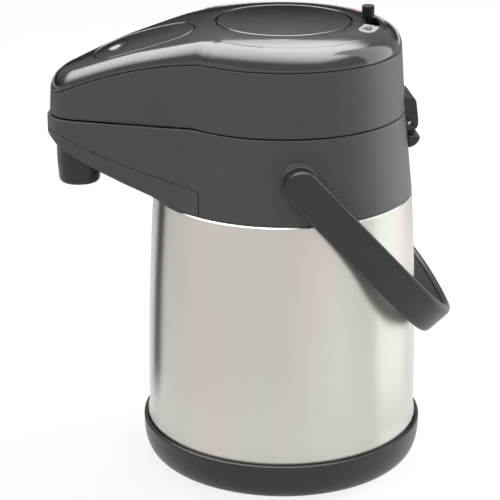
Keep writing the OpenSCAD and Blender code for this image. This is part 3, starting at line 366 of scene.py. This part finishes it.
# The outer shell, spun from stainless sheet and brushed around its axis,
# so that reflections are drawn out up and down, and painted reflection streaks tint its colour.
def brushed(name, shade, rough, spread, line, depth):
    """Steel brushed around the flask's axis, in lines of a length and depth."""
    fixed = {"Metallic": 1.0, "Anisotropic": spread, "Anisotropic Rotation": 0.25}
    material, shader, place = finish(name, fixed)
    stretch = {"Vector": place, "Scale": (1 / line, 1 / line, 130 / line)}
    lines = place.add("Mapping", {}, stretch)
    scratch = place.add("TexNoise", {}, {"Vector": lines, "Scale": 1.0, "Detail": 4.0})
    # Upright streaks of warm and cool tint: a painted reflection, not a tint of the steel.
    streak_place = place.add("Mapping", {}, {"Vector": place, "Scale": (1, 1, 0.12)})
    painted_streaks = streak_place.add("TexNoise", {}, {"Vector": streak_place, "Scale": 26.0, "Detail": 1.0})
    warm_streak = tuple(c * t for c, t in zip(shade, (1.04, 0.985, 0.99))) + (1,)
    cool_streak = tuple(c * t for c, t in zip(shade, (0.97, 1.01, 0.97))) + (1,)
    streaked_colour = painted_streaks.step(0.35, 0.65).mix(cool_streak, warm_streak)
    worn = scratch.mix((0.94, 0.94, 0.94, 1), (1.05, 1.05, 1.05, 1))
    streaks_and_wear = {"Factor": 1.0, 6: streaked_colour, 7: worn}
    place.add("Mix", {"data_type": "RGBA", "blend_type": "MULTIPLY"}, streaks_and_wear, 2).into(shader, "Base Color")
    (rough - 0.05 + 0.10 * scratch).into(shader, "Roughness")
    bump = {"Strength": 1.0, "Distance": depth, "Height": scratch}
    place.add("Bump", {}, bump).into(shader, "Normal")
    return material


steel = brushed("brushed steel", (0.60, 0.585, 0.545), 0.30, 0.75, 0.03, 0.000004)
dress("outer_shell", steel, 0)

# The inner vessel and the lift tube that stands in it: plain drawn steel.
# The vessel is a cup, a shoulder and a neck, welded together and to the shell at the mouth.
plain_steel = brushed("plain steel", (0.62, 0.62, 0.62), 0.3, 0.0, 0.02, 0.000004)
for name in ("inner_vessel", "vessel_shoulder", "vessel_neck", "lift_tube"):
    dress(name, plain_steel, 0)

# The collar with the lower half of the beak, the tray under it and the catch bar inside it.
# Filled polypropylene from an etched mould: dark grey, matte, with a fine even grain.
grey = moulded("grey etched plastic", (0.042, 0.042, 0.0428), 0.46, 0.0006, 0.00005)
for name in ("shoulder_collar", "spout_under_cover", "latch_catch"):
    dress(name, grey, 0.0004)

# The nozzle, a black moulded tube pushed into the tray under the beak.
dress("spout_nozzle", black)

# The white pipes between the vessel and the nozzle, and the ring and seal on the neck.
white_plastic = moulded("white pipe plastic", (0.72, 0.71, 0.68), 0.35, 0.0012, 0.00003)
pale_rubber = moulded("pale silicone", (0.60, 0.585, 0.54), 0.5, 0.001, 0.00004)
for name in ("outlet_elbow", "delivery_tube"):
    dress(name, white_plastic)
dress("neck_ring", black)
dress("mouth_gasket", pale_rubber)

# The hinge: a bracket screwed to the collar, a knuckle screwed to the lid and a steel pin.
for name in ("hinge_bracket", "hinge_knuckle"):
    dress(name, black, 0.0005)
for name in ("hinge_pin", "bracket_screws", "knuckle_screws"):
    dress(name, plain_steel, 0)

# The lid's wall with the upper half of the beak, in the collar's grey plastic,
# and what closes it from below: the base plate, its gasket and the valve disc.
dress("lid_shell", grey, 0.0004)
dress("lid_base", grey)
for name in ("lid_gasket", "valve_disc"):
    dress(name, pale_rubber)


# The top cover, a glossy dark moulding clipped into the lid's wall. It is nearly level around
# the button, rolls over to the wall, and runs down along the beak. A fine groove rings its top.
EDGE_Z = 0.250
EDGE_FALL = 0.024
EDGE_BEND = 1.9
TOP_Z = 0.264
BEAK_SLOPE = math.radians(14)
SLOPE_SOFT = 0.0062
DROOP = 0.0053
DROOP_BEND = 1.4
ROUND_R = 0.0676
NOSE_R = 0.0192
NOSE_Y = -0.114
BEAK_LENGTH = 0.1342
BEAK_TAIL = -0.335 * BEAK_LENGTH
BEAK_TURN = math.radians(20.5)
BLEND_R = 0.012
ROLL = 0.007
BEAK_ROLL = 0.0085
ROLL_EASE = 0.59
RIM_FALL = 0.0035
BEAK_RIM_FALL = 0.0004
CROWN = 2.6
BEAK_CROWN = 1.8
COVER_WALL = 0.0024
CLEAR = 0.0005
HOLE_R = 0.0393
CROWN_R = HOLE_R - 0.0008
DROOP_Y = NOSE_Y + 0.0284
LIP = 0.0005
GROOVE = 1.127
GROOVE_HALF = 0.014
GROOVE_DEPTH = 0.00022
TAB_SIDE = 0.78
ARC_STEPS = 90
BLEND_STEPS = 18
SIDE_STEPS = 60
NOSE_STEPS = 26
ROW_STEPS = 18


def beak_share(y):
    """How far along the beak a place is: 0 at its root, 1 at its tip."""
    return min(1.06, max(0.0, (BEAK_TAIL - y) / (BEAK_LENGTH + BEAK_TAIL)))


def edge_height(y):
    return EDGE_Z - EDGE_FALL * beak_share(y) ** EDGE_BEND


def crest_height(y):
    """The middle of the cover: level past the button, then a slope, and a drooping nose."""
    run = max(0.0, -CROWN_R - y)
    run = run * run / (run + SLOPE_SOFT)
    nod = max(0.0, (DROOP_Y - y) / (DROOP_Y + BEAK_LENGTH)) ** DROOP_BEND
    return TOP_Z - math.tan(BEAK_SLOPE) * run - DROOP * nod


def smooth(share):
    """An even change from 0 to 1, flat at both ends."""
    share = min(1.0, max(0.0, share))
    return share * share * (3 - 2 * share)


def half_plan():
    """Half of the cover's plan, from its back round to the beak's tip: each point's place,
    its direction inwards, the place on the crest that it rises to, and its share of the nose."""
    reach = NOSE_R - NOSE_Y * math.sin(BEAK_TURN)
    run = math.sqrt((ROUND_R + BLEND_R) ** 2 - (reach + BLEND_R) ** 2)
    fillet_x = (reach + BLEND_R) * math.cos(BEAK_TURN) - run * math.sin(BEAK_TURN)
    fillet_y = -(reach + BLEND_R) * math.sin(BEAK_TURN) - run * math.cos(BEAK_TURN)
    first = math.atan2(fillet_y, fillet_x)
    points = []
    for i in range(ARC_STEPS):
        a = math.pi / 2 + (first - math.pi / 2) * i / ARC_STEPS
        foot = (CROWN_R * math.cos(a), CROWN_R * math.sin(a))
        points.append((ROUND_R * math.cos(a), ROUND_R * math.sin(a), a + math.pi, foot, 0.0))
    for i in range(BLEND_STEPS):
        a = first + math.pi - (first + BEAK_TURN) * i / BLEND_STEPS
        b = first - (math.pi / 2 + first) * i / BLEND_STEPS
        foot = (CROWN_R * math.cos(b), CROWN_R * math.sin(b))
        points.append((fillet_x + BLEND_R * math.cos(a), fillet_y + BLEND_R * math.sin(a), a, foot, 0.0))
    x0, y0 = fillet_x - BLEND_R * math.cos(BEAK_TURN), fillet_y + BLEND_R * math.sin(BEAK_TURN)
    x1, y1 = NOSE_R * math.cos(BEAK_TURN), NOSE_Y - NOSE_R * math.sin(BEAK_TURN)
    for i in range(SIDE_STEPS):
        t = i / SIDE_STEPS
        foot = (0.0, -CROWN_R + (NOSE_Y + CROWN_R) * t)
        points.append((x0 + (x1 - x0) * t, y0 + (y1 - y0) * t, math.pi - BEAK_TURN, foot, 0.0))
    for i in range(NOSE_STEPS + 1):
        t = i / NOSE_STEPS
        a = -BEAK_TURN - (math.pi / 2 - BEAK_TURN) * t
        points.append((NOSE_R * math.cos(a), NOSE_Y + NOSE_R * math.sin(a), a + math.pi, (0.0, NOSE_Y), t))
    return points


def on_beak(index):
    """How far a point of the plan belongs to the beak: 0 on the round part, 1 along the beak."""
    return smooth((index - 0.5 * ARC_STEPS) / (0.5 * ARC_STEPS + BLEND_STEPS + 0.2 * SIDE_STEPS))


def cover_line(index, plan):
    """The cover's line from a point of its edge: the corners of its roll, its foot on the crest,
    how far it falls to the shoulder, and how round its crown is."""
    x, y, inward, foot, nose = plan[index]
    z = edge_height(y)
    beak = on_beak(index)
    roll = ROLL + (BEAK_ROLL - ROLL) * beak
    across = 0.0 if index in (0, len(plan) - 1) else x + roll * math.cos(inward)
    along = y + roll * math.sin(inward)
    fall = (1 - nose) * (RIM_FALL + (BEAK_RIM_FALL - RIM_FALL) * beak)
    shoulder = Vector((across, along, crest_height(along) - fall))
    crest = Vector((foot[0], foot[1], crest_height(foot[1])))
    bow = 1 + (1 - nose) * (CROWN - 1 + (BEAK_CROWN - CROWN) * beak)
    corner = crest_height(y) - fall * (1 + bow * roll / (crest - shoulder).xy.length)
    return Vector((x, y, z)), corner, shoulder, crest, fall, bow


def cover_point(line, share):
    """A point on the cover, from its edge (0) over its shoulder (1) to its crest (2)."""
    edge, corner, shoulder, crest, fall, bow = line
    if share > 1:
        point = shoulder.lerp(crest, share - 1)
        point.z = crest_height(point.y) - fall * (2 - share) ** bow
        return point
    second = Vector((edge.x, edge.y, edge.z + ROLL_EASE * (corner - edge.z)))
    third = shoulder + ROLL_EASE * (Vector((edge.x, edge.y, corner)) - shoulder)
    t, u = share, 1 - share
    return u * u * u * edge + 3 * u * u * t * second + 3 * u * t * t * third + t * t * t * shoulder


def both_sides(points):
    """A closed loop from the right half of one."""
    return list(points) + [Vector((-p.x, p.y, p.z)) for p in points[-2:0:-1]]


class Skin:
    """A mesh put together from closed loops of points."""

    def __init__(self):
        self.points = []
        self.faces = []

    def loop(self, points):
        start = len(self.points)
        self.points += [Vector(p) for p in points]
        return list(range(start, len(self.points)))

    def band(self, first, second):
        """Faces between two loops of as many points."""
        count = len(first)
        for i in range(count):
            j = (i + 1) % count
            self.faces.append((first[i], first[j], second[j], second[i]))

    def fill(self, outer, holes, spots):
        """Triangles inside the outer loop and around the holes, through the spots that lie there."""
        owners, areas = [], []
        for loop in [outer] + holes:
            points = [self.points[i].xy for i in loop]
            turn = sum(a.cross(b) for a, b in zip(points, points[1:] + points[:1]))
            areas.append(list(range(len(owners), len(owners) + len(loop))))
            owners += loop if turn > 0 else reversed(loop)
        edge = KDTree(len(owners))
        for i, owner in enumerate(owners):
            edge.insert((*self.points[owner].xy, 0), i)
        edge.balance()
        inner = [Vector(p) for p in spots if edge.find((p[0], p[1], 0))[2] > CLEAR]
        flat = [self.points[i].xy for i in owners] + [p.xy for p in inner]
        made = delaunay_2d_cdt(flat, [], areas, 1, 1e-9)
        used = dict(enumerate(owners))
        for face, sources in zip(made[2], made[5]):
            if sources == [0]:
                corners = [made[3][i][0] for i in face]
                for i in corners:
                    if i not in used:
                        used[i] = self.loop([inner[i - len(owners)]])[0]
                self.faces.append(tuple(used[i] for i in corners))


def grid(low, high, spacing, height):
    """Spots in even triangles between two corners in plan, raised to a height."""
    spots = []
    step = spacing * math.sqrt(3) / 2
    for row in range(int((high[1] - low[1]) / step) + 1):
        y = low[1] + step * row
        for column in range(int((high[0] - low[0]) / spacing) + 1):
            x = low[0] + spacing * (column + 0.5 * (row % 2))
            spots.append((x, y, height(x, y)))
    return spots


def piece(name, skin, material, body, slot, *replaced):
    """A finished piece of the flask, on its body, in place of the CAD nodes named."""
    mesh = bpy.data.meshes.new(name)
    mesh.from_pydata(skin.points, [], skin.faces)
    mesh.materials.append(material)
    mesh.shade_smooth()
    mesh.set_sharp_from_angle(angle=math.radians(40))
    made = bpy.data.objects.new(name, mesh)
    bpy.context.scene.collection.objects.link(made)
    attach(made, body)
    if replaced:
        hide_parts(*replaced)
    return made


plan = half_plan()
lines = [cover_line(i, plan) for i in range(len(plan))]
inwards = [Vector((math.cos(p[2]), math.sin(p[2]), 0)) for p in plan]

CROWN_FROM = 0.5
CROWN_FINE = 40
crown = Skin()
crown_rows = []
for i in range(int((2 - CROWN_FROM) * CROWN_FINE) + 1):
    crown_rows.append([cover_point(line, CROWN_FROM + i / CROWN_FINE) for line in lines])
crown_loops = [crown.loop(both_sides(row)) for row in crown_rows]
for lower, upper in zip(crown_loops, crown_loops[1:]):
    crown.band(lower, upper)
crown_tree = BVHTree.FromPolygons(crown.points, crown.faces)


def cover_height(x, y):
    """The height of the cover's top over a place in plan."""
    for nudge in (0, 1e-6, -1e-6):
        hit = crown_tree.ray_cast(Vector((x + nudge, y + nudge / 2, 1)), Vector((0, 0, -1)))[0]
        if hit:
            return hit.z
    return crown_tree.find_nearest(Vector((x, y, crest_height(y))))[0].z


def button_hole(out):
    steps = 160
    turns = [2 * math.pi * i / steps for i in range(steps)]
    return [((HOLE_R + out) * math.cos(a), (HOLE_R + out) * math.sin(a)) for a in turns]


TAB_Y = BEAK_TAIL - 0.382 * (BEAK_LENGTH + BEAK_TAIL)
TAB_HALF_LENGTH = 0.028
TAB_HALF_WIDTH = 0.01975
TAB_POWER = 2.5
TAB_GAP = 0.0004


def tab_oval(out):
    """The tab's outline, an oval with full corners."""
    steps = 144
    wide, long = TAB_HALF_WIDTH + out, TAB_HALF_LENGTH + out
    points = []
    for i in range(steps):
        c, s = math.cos(2 * math.pi * i / steps), math.sin(2 * math.pi * i / steps)
        size = (abs(c) ** TAB_POWER + abs(s) ** TAB_POWER) ** (-1 / TAB_POWER)
        points.append((wide * c * size, TAB_Y + long * s * size))
    return points


LOCK_R = 0.0505
LOCK_FROM = math.radians(-9)
LOCK_TO = math.radians(11)
SLOT_HALF = 0.0039


def on_ring(radius, turn):
    """A place in plan at a turn from the back of the lid towards +X."""
    return (radius * math.sin(turn), radius * math.cos(turn))


def lock_slot(out):
    wide = SLOT_HALF + out
    steps = 14
    points = [on_ring(LOCK_R + wide, LOCK_FROM + (LOCK_TO - LOCK_FROM) * i / steps) for i in range(steps)]
    for turn, start in ((LOCK_TO, 0.0), (LOCK_FROM, math.pi)):
        middle = Vector(on_ring(LOCK_R, turn))
        outward = Vector(on_ring(1, turn))
        onward = Vector((outward.y, -outward.x))
        for i in range(steps):
            a = start + math.pi * i / steps
            points.append(tuple(middle + wide * (math.cos(a) * outward + math.sin(a) * onward)))
        if start == 0.0:
            backward = [LOCK_TO + (LOCK_FROM - LOCK_TO) * i / steps for i in range(steps)]
            points += [on_ring(LOCK_R - wide, a) for a in backward]
    return points


def raised(places, height, drop=0.0):
    return [(x, y, height(x, y) - drop) for x, y in places]


cover = Skin()


def hole_lip(outline):
    """The rounded edge and the wall of a hole in the cover; returns its loops on top and below."""
    tops = [cover_height(x, y) for x, y in outline(LIP)]
    first = last = cover.loop([(x, y, z) for (x, y), z in zip(outline(LIP), tops)])
    for i in range(1, 5):
        a = math.pi / 2 * i / 4
        places = outline(LIP * (1 - math.sin(a)))
        ring = cover.loop([(x, y, z - LIP * (1 - math.cos(a))) for (x, y), z in zip(places, tops)])
        cover.band(ring, last)
        last = ring
    foot = cover.loop([(x, y, z - COVER_WALL) for (x, y), z in zip(outline(0.0), tops)])
    under = cover.loop([(x, y, z - COVER_WALL) for (x, y), z in zip(outline(LIP), tops)])
    cover.band(foot, last)
    cover.band(under, foot)
    return first, under


def reach(index):
    """How far up the cover its rows go: to the groove on the round part, short of the tab on the beak."""
    share = smooth((index - 0.95 * ARC_STEPS) / (0.05 * ARC_STEPS + BLEND_STEPS))
    return GROOVE + (TAB_SIDE - GROOVE) * share


def groove_depth(index):
    """The groove runs out towards the beak."""
    return GROOVE_DEPTH * (1 - smooth(5 * index / ARC_STEPS - 4))


SEAM_DEPTH = 0.0009
SEAM_HEIGHT = 0.0004
places = range(len(lines))
edge_points = [line[0] for line in lines]
lower_rim = cover.loop(both_sides([p + COVER_WALL * w for p, w in zip(edge_points, inwards)]))
outer_rim = cover.loop(both_sides([p + SEAM_DEPTH * w for p, w in zip(edge_points, inwards)]))
side = cover.loop(both_sides([p + SEAM_HEIGHT * upward for p in edge_points]))
cover.band(outer_rim, lower_rim)
cover.band(side, outer_rim)
inside = lower_rim
shares = [[reach(i) * k / ROW_STEPS for i in places] for k in range(1, ROW_STEPS)]
shares.append([reach(i) - GROOVE_HALF for i in places])
for row_shares in shares:
    row = [cover_point(line, t) for line, t in zip(lines, row_shares)]
    ring = cover.loop(both_sides(row))
    cover.band(ring, side)
    turns = [min(1.0, t) for t in row_shares]
    under = [p + COVER_WALL * ((1 - t) * w - t * upward) for p, w, t in zip(row, inwards, turns)]
    inner = cover.loop(both_sides(under))
    cover.band(inside, inner)
    side, inside = ring, inner
groove = [cover_point(lines[i], reach(i)) - groove_depth(i) * upward for i in places]
ring = cover.loop(both_sides(groove))
cover.band(ring, side)
past = [cover_point(lines[i], reach(i) + GROOVE_HALF) for i in places]
outer_top = cover.loop(both_sides(past))
cover.band(outer_top, ring)
outer_under = cover.loop(both_sides([p - COVER_WALL * upward for p in past]))
cover.band(inside, outer_under)

SPOT = 0.0005
SPOT_ROWS = 27
SPOT_FROM = 0.7
SPOT_STEP = 0.05
spots = {}
for k in range(SPOT_ROWS):
    share = SPOT_FROM + SPOT_STEP * k
    for i in places:
        if share > reach(i) + GROOVE_HALF:
            point = cover_point(lines[i], share)
            for across in (point.x, -point.x):
                spots[round(across / SPOT), round(point.y / SPOT)] = Vector((across, point.y, point.z))
lips = [hole_lip(outline) for outline in (button_hole, lambda out: tab_oval(TAB_GAP + out), lock_slot)]
cover.fill(outer_top, [lip[0] for lip in lips], spots.values())
before = len(cover.faces)
cover.fill(outer_under, [lip[1] for lip in lips], [p - COVER_WALL * upward for p in spots.values()])
cover.faces[before:] = [tuple(reversed(face)) for face in cover.faces[before:]]

gloss_coat = {"Coat Weight": 0.8, "Coat Roughness": 0.04}
gloss = moulded("glossy dark plastic", (0.024, 0.024, 0.0252), 0.16, 0.012, 0.00001, gloss_coat)
piece("cover", cover, gloss, "lid", "plastic_gloss", "top_cover")


# The latch tab, an oval rocker of the cover's plastic with a finger dimple near its front.
# It turns on a steel pin in the cover and ends in a hook below the lid.
TAB_SINK = 0.0002
TAB_WALL = 0.0036
TAB_LIP = 0.0005
DIMPLE_Y = TAB_Y - 0.28 * 2 * TAB_HALF_LENGTH
DIMPLE_R = 0.009
DIMPLE_DEPTH = 0.0016
DIMPLE_SOFT = 0.0003
SEAM_Z = 0.2135
LATCH_Z = crest_height(TAB_Y) - 0.0085
HOOK_Y = TAB_Y - TAB_HALF_LENGTH + 0.00035
EYE_R = 0.0034
EYE_HALF = 0.008
RIB_HALF_WIDTH = 0.007
RIB_HALF_LENGTH = 0.003
HOOK_HALF = 0.005
STEM_FROM = HOOK_Y + 0.0024
STEM_TO = HOOK_Y + 0.0054
BARB_TO = HOOK_Y + 0.004
HOOK_LOW = SEAM_Z - 0.006
BARB_HIGH = SEAM_Z - 0.004
INTO_TAB = 0.001


def tab_height(x, y):
    """The tab's top, a little below the cover's, with the dimple pressed into it."""
    far = x * x + (y - DIMPLE_Y) ** 2
    press = math.sqrt(max(0.0, DIMPLE_R ** 2 - far)) - (DIMPLE_R - DIMPLE_DEPTH)
    press = 0.5 * (press + math.sqrt(press * press + DIMPLE_SOFT ** 2))
    return cover_height(x, y) - TAB_SINK - press


tab = Skin()
tops = [cover_height(x, y) - TAB_SINK for x, y in tab_oval(-TAB_LIP)]
face_loop = last = tab.loop([(x, y, z) for (x, y), z in zip(tab_oval(-TAB_LIP), tops)])
for i in range(1, 5):
    a = math.pi / 2 * i / 4
    places = tab_oval(-TAB_LIP * (1 - math.sin(a)))
    ring = tab.loop([(x, y, z - TAB_LIP * (1 - math.cos(a))) for (x, y), z in zip(places, tops)])
    tab.band(ring, last)
    last = ring
foot = tab.loop([(x, y, z - TAB_WALL) for (x, y), z in zip(tab_oval(0.0), tops)])
tab.band(foot, last)
low = (-TAB_HALF_WIDTH, TAB_Y - TAB_HALF_LENGTH)
high = (TAB_HALF_WIDTH, TAB_Y + TAB_HALF_LENGTH)
tab.fill(face_loop, [], grid(low, high, 0.0009, tab_height))
before = len(tab.faces)
tab.fill(foot, [], grid(low, high, 0.003, lambda x, y: cover_height(x, y) - TAB_SINK - TAB_WALL))
tab.faces[before:] = [tuple(reversed(face)) for face in tab.faces[before:]]


def block(skin, low, high):
    """A straight block between two corners."""
    level = [(low[0], low[1]), (high[0], low[1]), (high[0], high[1]), (low[0], high[1])]
    under = skin.loop([(x, y, low[2]) for x, y in level])
    over = skin.loop([(x, y, high[2]) for x, y in level])
    skin.band(under, over)
    skin.faces += [tuple(reversed(under)), tuple(over)]


def rod(skin, middle, radius, half_length):
    """A round rod along X."""
    steps = 32
    turns = [2 * math.pi * i / steps for i in range(steps)]
    x, y, z = middle
    ends = []
    for end in (x - half_length, x + half_length):
        ends.append(skin.loop([(end, y + radius * math.cos(a), z + radius * math.sin(a)) for a in turns]))
    skin.band(*ends)
    skin.faces += [tuple(reversed(ends[0])), tuple(ends[1])]


rod(tab, (0, TAB_Y, LATCH_Z), EYE_R, EYE_HALF)
rib_top = crest_height(TAB_Y) - TAB_SINK - TAB_WALL + INTO_TAB
rib_low = (-RIB_HALF_WIDTH, TAB_Y - RIB_HALF_LENGTH, LATCH_Z)
block(tab, rib_low, (RIB_HALF_WIDTH, TAB_Y + RIB_HALF_LENGTH, rib_top))
stem_top = crest_height(STEM_FROM) - TAB_SINK - TAB_WALL + INTO_TAB
block(tab, (-HOOK_HALF, STEM_FROM, HOOK_LOW), (HOOK_HALF, STEM_TO, stem_top))
block(tab, (-HOOK_HALF, HOOK_Y, HOOK_LOW), (HOOK_HALF, BARB_TO, BARB_HIGH))
piece("tab", tab, gloss, "latch", "plastic_gloss", "latch_tab")
dress("latch_pin", plain_steel, 0)


# The push button, a barely domed disc of the cover's plastic on a skirt that slides in a guide.
# The plunger under it presses the bellows, and the spring inside lifts it again.
BUTTON_R = 0.0382
BUTTON_DOME = 0.0007
BUTTON_WALL = 0.003
BUTTON_RIM = 0.0008
BUTTON_LAND = 0.0014
SKIRT_Z = TOP_Z - 0.024
SKIRT_WALL = 0.0022
FLANGE = 0.002


def turned(profile, steps):
    """A lathe-turned skin from a closed profile of radius and height."""
    skin = Skin()
    turns = [2 * math.pi * i / steps for i in range(steps)]
    rings = []
    for radius, z in profile:
        if radius == 0:
            rings.append(skin.loop([(0, 0, z)]) * steps)
        else:
            rings.append(skin.loop([(radius * math.cos(a), radius * math.sin(a), z) for a in turns]))
    for lower, upper in zip(rings, rings[1:] + rings[:1]):
        for i in range(steps):
            j = (i + 1) % steps
            corners = dict.fromkeys((lower[i], lower[j], upper[j], upper[i]))
            if len(corners) > 2:
                skin.faces.append(tuple(corners))
    return skin


dome_r = BUTTON_R - BUTTON_RIM - BUTTON_LAND
dome_steps = 24
dome = []
for i in range(dome_steps + 1):
    share = i / dome_steps
    dome.append((dome_r * share, TOP_Z + BUTTON_DOME * (1 - share * share)))
rim = []
for i in range(1, 6):
    a = math.pi / 2 * i / 5
    rim.append((BUTTON_R - BUTTON_RIM * (1 - math.sin(a)), TOP_Z - BUTTON_RIM * (1 - math.cos(a))))
below = TOP_Z + BUTTON_DOME - BUTTON_WALL
skirt = [
    (BUTTON_R, SKIRT_Z + FLANGE),
    (BUTTON_R + FLANGE, SKIRT_Z + FLANGE),
    (BUTTON_R + FLANGE, SKIRT_Z),
    (BUTTON_R - SKIRT_WALL, SKIRT_Z),
    (BUTTON_R - SKIRT_WALL, below),
    (0, below),
]
profile = dome + [(BUTTON_R - BUTTON_RIM, TOP_Z)] + rim + skirt
button = turned(profile[::-1], 160)
piece("button", button, gloss, "button", "plastic_gloss", "push_button")
dress("button_plunger", grey)
dress("button_guide", grey)

# The bellows, blown from pale silicone with round folds, between the lid's base and the plunger.
# The spring is wound from steel wire.
BELLOWS_LOW, BELLOWS_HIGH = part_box("bellows")[0][2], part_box("bellows")[1][2]
BELLOWS_R = 0.027
FOLD = 0.0025
FOLDS = 6
BELLOWS_WALL = 0.0012
PORT_R = 0.008
fold_steps = FOLDS * 12
wave = []
for i in range(fold_steps + 1):
    share = i / fold_steps
    z = BELLOWS_LOW + BELLOWS_WALL + (BELLOWS_HIGH - BELLOWS_LOW - 2 * BELLOWS_WALL) * share
    wave.append((BELLOWS_R + FOLD * math.cos(2 * math.pi * FOLDS * share), z))
outer_wall = [(PORT_R, BELLOWS_LOW), (BELLOWS_R + FOLD, BELLOWS_LOW)] + wave
outer_wall += [(BELLOWS_R + FOLD, BELLOWS_HIGH), (0, BELLOWS_HIGH), (0, BELLOWS_HIGH - BELLOWS_WALL)]
inner_wall = [(radius - BELLOWS_WALL, z) for radius, z in reversed(wave)]
inner_wall += [(PORT_R, BELLOWS_LOW + BELLOWS_WALL)]
folded = turned(outer_wall + inner_wall, 96)
bellows = piece("pump_bellows", folded, pale_rubber, "lid", "rubber_pale", "bellows")

SPRING_R = 0.015
WIRE_R = 0.0009
SPRING_TURNS = 6
spring_low, spring_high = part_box("return_spring")[0][2] + WIRE_R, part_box("return_spring")[1][2] - WIRE_R
spring = Skin()
wire_rings = []
wire_steps = SPRING_TURNS * 48
wire_turns = [2 * math.pi * j / 12 for j in range(12)]
for i in range(wire_steps + 1):
    a = 2 * math.pi * SPRING_TURNS * i / wire_steps
    out = Vector((math.cos(a), math.sin(a), 0))
    z = spring_low + (spring_high - spring_low) * i / wire_steps
    middle = SPRING_R * out + z * upward
    around = [math.cos(b) * out + math.sin(b) * upward for b in wire_turns]
    wire_rings.append(spring.loop([middle + WIRE_R * w for w in around]))
for first, second in zip(wire_rings, wire_rings[1:]):
    spring.band(first, second)
spring.faces += [tuple(reversed(wire_rings[0])), tuple(wire_rings[-1])]
coil = piece("lift_spring", spring, plain_steel, "lid", "steel_plain", "return_spring")

for soft, low, high in ((bellows, BELLOWS_LOW, BELLOWS_HIGH), (coil, spring_low, spring_high)):
    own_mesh(soft)

# The lock: an arc plate under the cover with a round black knob that stands in a slot,
# and two printed marks beside the slot: silver with a plain lock for free, and red for locked.
PLATE_INNER, PLATE_OUTER = 0.0448, 0.0549
PLATE_Z = TOP_Z - 0.009
PLATE_THICK = 0.0016
PLATE_MORE = math.radians(10)
KNOB_R = 0.0036
KNOB_TOP = TOP_Z + 0.0056
KNOB_EDGE = 0.0006
lock = Skin()
plate_turns = [LOCK_FROM - PLATE_MORE + (LOCK_TO - LOCK_FROM + 2 * PLATE_MORE) * i / 24 for i in range(25)]
plate_edge = [on_ring(PLATE_INNER, a) for a in plate_turns]
plate_edge += [on_ring(PLATE_OUTER, a) for a in reversed(plate_turns)]
under = lock.loop([(x, y, PLATE_Z) for x, y in plate_edge])
over = lock.loop([(x, y, PLATE_Z + PLATE_THICK) for x, y in plate_edge])
lock.band(under, over)
lock.fill(over, [], [])
before = len(lock.faces)
lock.fill(under, [], [])
lock.faces[before:] = [tuple(reversed(face)) for face in lock.faces[before:]]
stem = [(0, PLATE_Z + PLATE_THICK / 2), (KNOB_R, PLATE_Z + PLATE_THICK / 2)]
for i in range(6):
    a = math.pi / 2 * i / 5
    stem.append((KNOB_R - KNOB_EDGE * (1 - math.cos(a)), KNOB_TOP - KNOB_EDGE * (1 - math.sin(a))))
stem.append((0, KNOB_TOP))
knob = turned(stem, 48)
knob_x, knob_y = on_ring(LOCK_R, LOCK_FROM)
start = len(lock.points)
lock.points += [p + Vector((knob_x, knob_y, 0)) for p in knob.points]
lock.faces += [tuple(i + start for i in face) for face in knob.faces]
dull = {"Specular IOR Level": 0.3}
jet = moulded("jet black plastic", (0.002, 0.002, 0.002), 0.42, 0.0008, 0.00002, dull)
piece("lock_knob", lock, jet, "lock", "plastic_black", "lock_slider")
PRINT = 0.00006
PRINT_INNER, PRINT_OUTER = 0.0462, 0.0548


def arch(turn, depth, middle, half):
    """Half an oval around the button's ring, from its inner to its outer side, turns in degrees."""
    bends = [math.pi * (i / 16 - 0.5) for i in range(17)]
    return [on_ring(middle + half * math.sin(b), math.radians(turn + depth * math.cos(b))) for b in bends]


def tag(first, last, inner, outer, ease):
    """A patch along the button's ring between two turns, with a far end that is rounded over an ease."""
    straight = [math.radians(first + (last - ease - first) * i / 12) for i in range(12)]
    end = arch(last - ease, ease, (inner + outer) / 2, (outer - inner) / 2)
    return [on_ring(inner, a) for a in straight] + end + [on_ring(outer, a) for a in reversed(straight)]


def printed(name, shade, outline, lift=0.0):
    """A mark printed on the cover, with an outline in plan."""
    mark = Skin()
    over = mark.loop(raised(outline, cover_height, -PRINT - lift))
    under = mark.loop(raised(outline, cover_height, PRINT))
    mark.band(under, over)
    low = [min(p[k] for p in outline) for k in (0, 1)]
    high = [max(p[k] for p in outline) for k in (0, 1)]
    mark.fill(over, [], grid(low, high, 0.0009, lambda x, y: cover_height(x, y) + PRINT + lift))
    mark.faces.append(tuple(reversed(under)))
    ink = moulded(name, shade, 0.35, 0.0006, 0.00001)
    piece(name, mark, ink, "lid", "plastic_gloss")


SILVER = (0.36, 0.36, 0.36)
INK = (0.05, 0.05, 0.05)
RED = (0.26, 0.06, 0.05)
SIGN_TURN = 26.5
SIGN_END = 31.5
SIGN_INNER, SIGN_OUTER = 0.0482, 0.0528
SHACKLE_TURN = 26.6
RED_INNER, RED_OUTER = 0.0488, 0.0520
patch = tag(18, 37, PRINT_INNER, PRINT_OUTER, ease=7)
sign = tag(SIGN_TURN, SIGN_END, SIGN_INNER, SIGN_OUTER, ease=0.8)
bow_outer = arch(SHACKLE_TURN, depth=-4.6, middle=LOCK_R, half=0.0018)
bow_inner = arch(SHACKLE_TURN, depth=-3.3, middle=LOCK_R, half=0.0009)
printed("free_mark", SILVER, patch)
printed("free_lock", INK, sign, lift=2 * PRINT)
printed("free_shackle", INK, bow_outer + bow_inner[::-1], lift=2 * PRINT)
printed("locked_mark", RED, tag(-34, -21, RED_INNER, RED_OUTER, ease=1))


# The bail handle, a satin moulding of channel section that turns on two steel pins.
# A rubber pad lines its grip, and spring clips hold the pins inside the collar.
satin = moulded("satin handle plastic", (0.012, 0.012, 0.0124), 0.36, 0.0009, 0.00002)
dress("handle", satin, 0, 40)
dress("grip_pad", dark_rubber)
for name in ("pivot_pins", "pin_clips"):
    dress(name, plain_steel, 0)
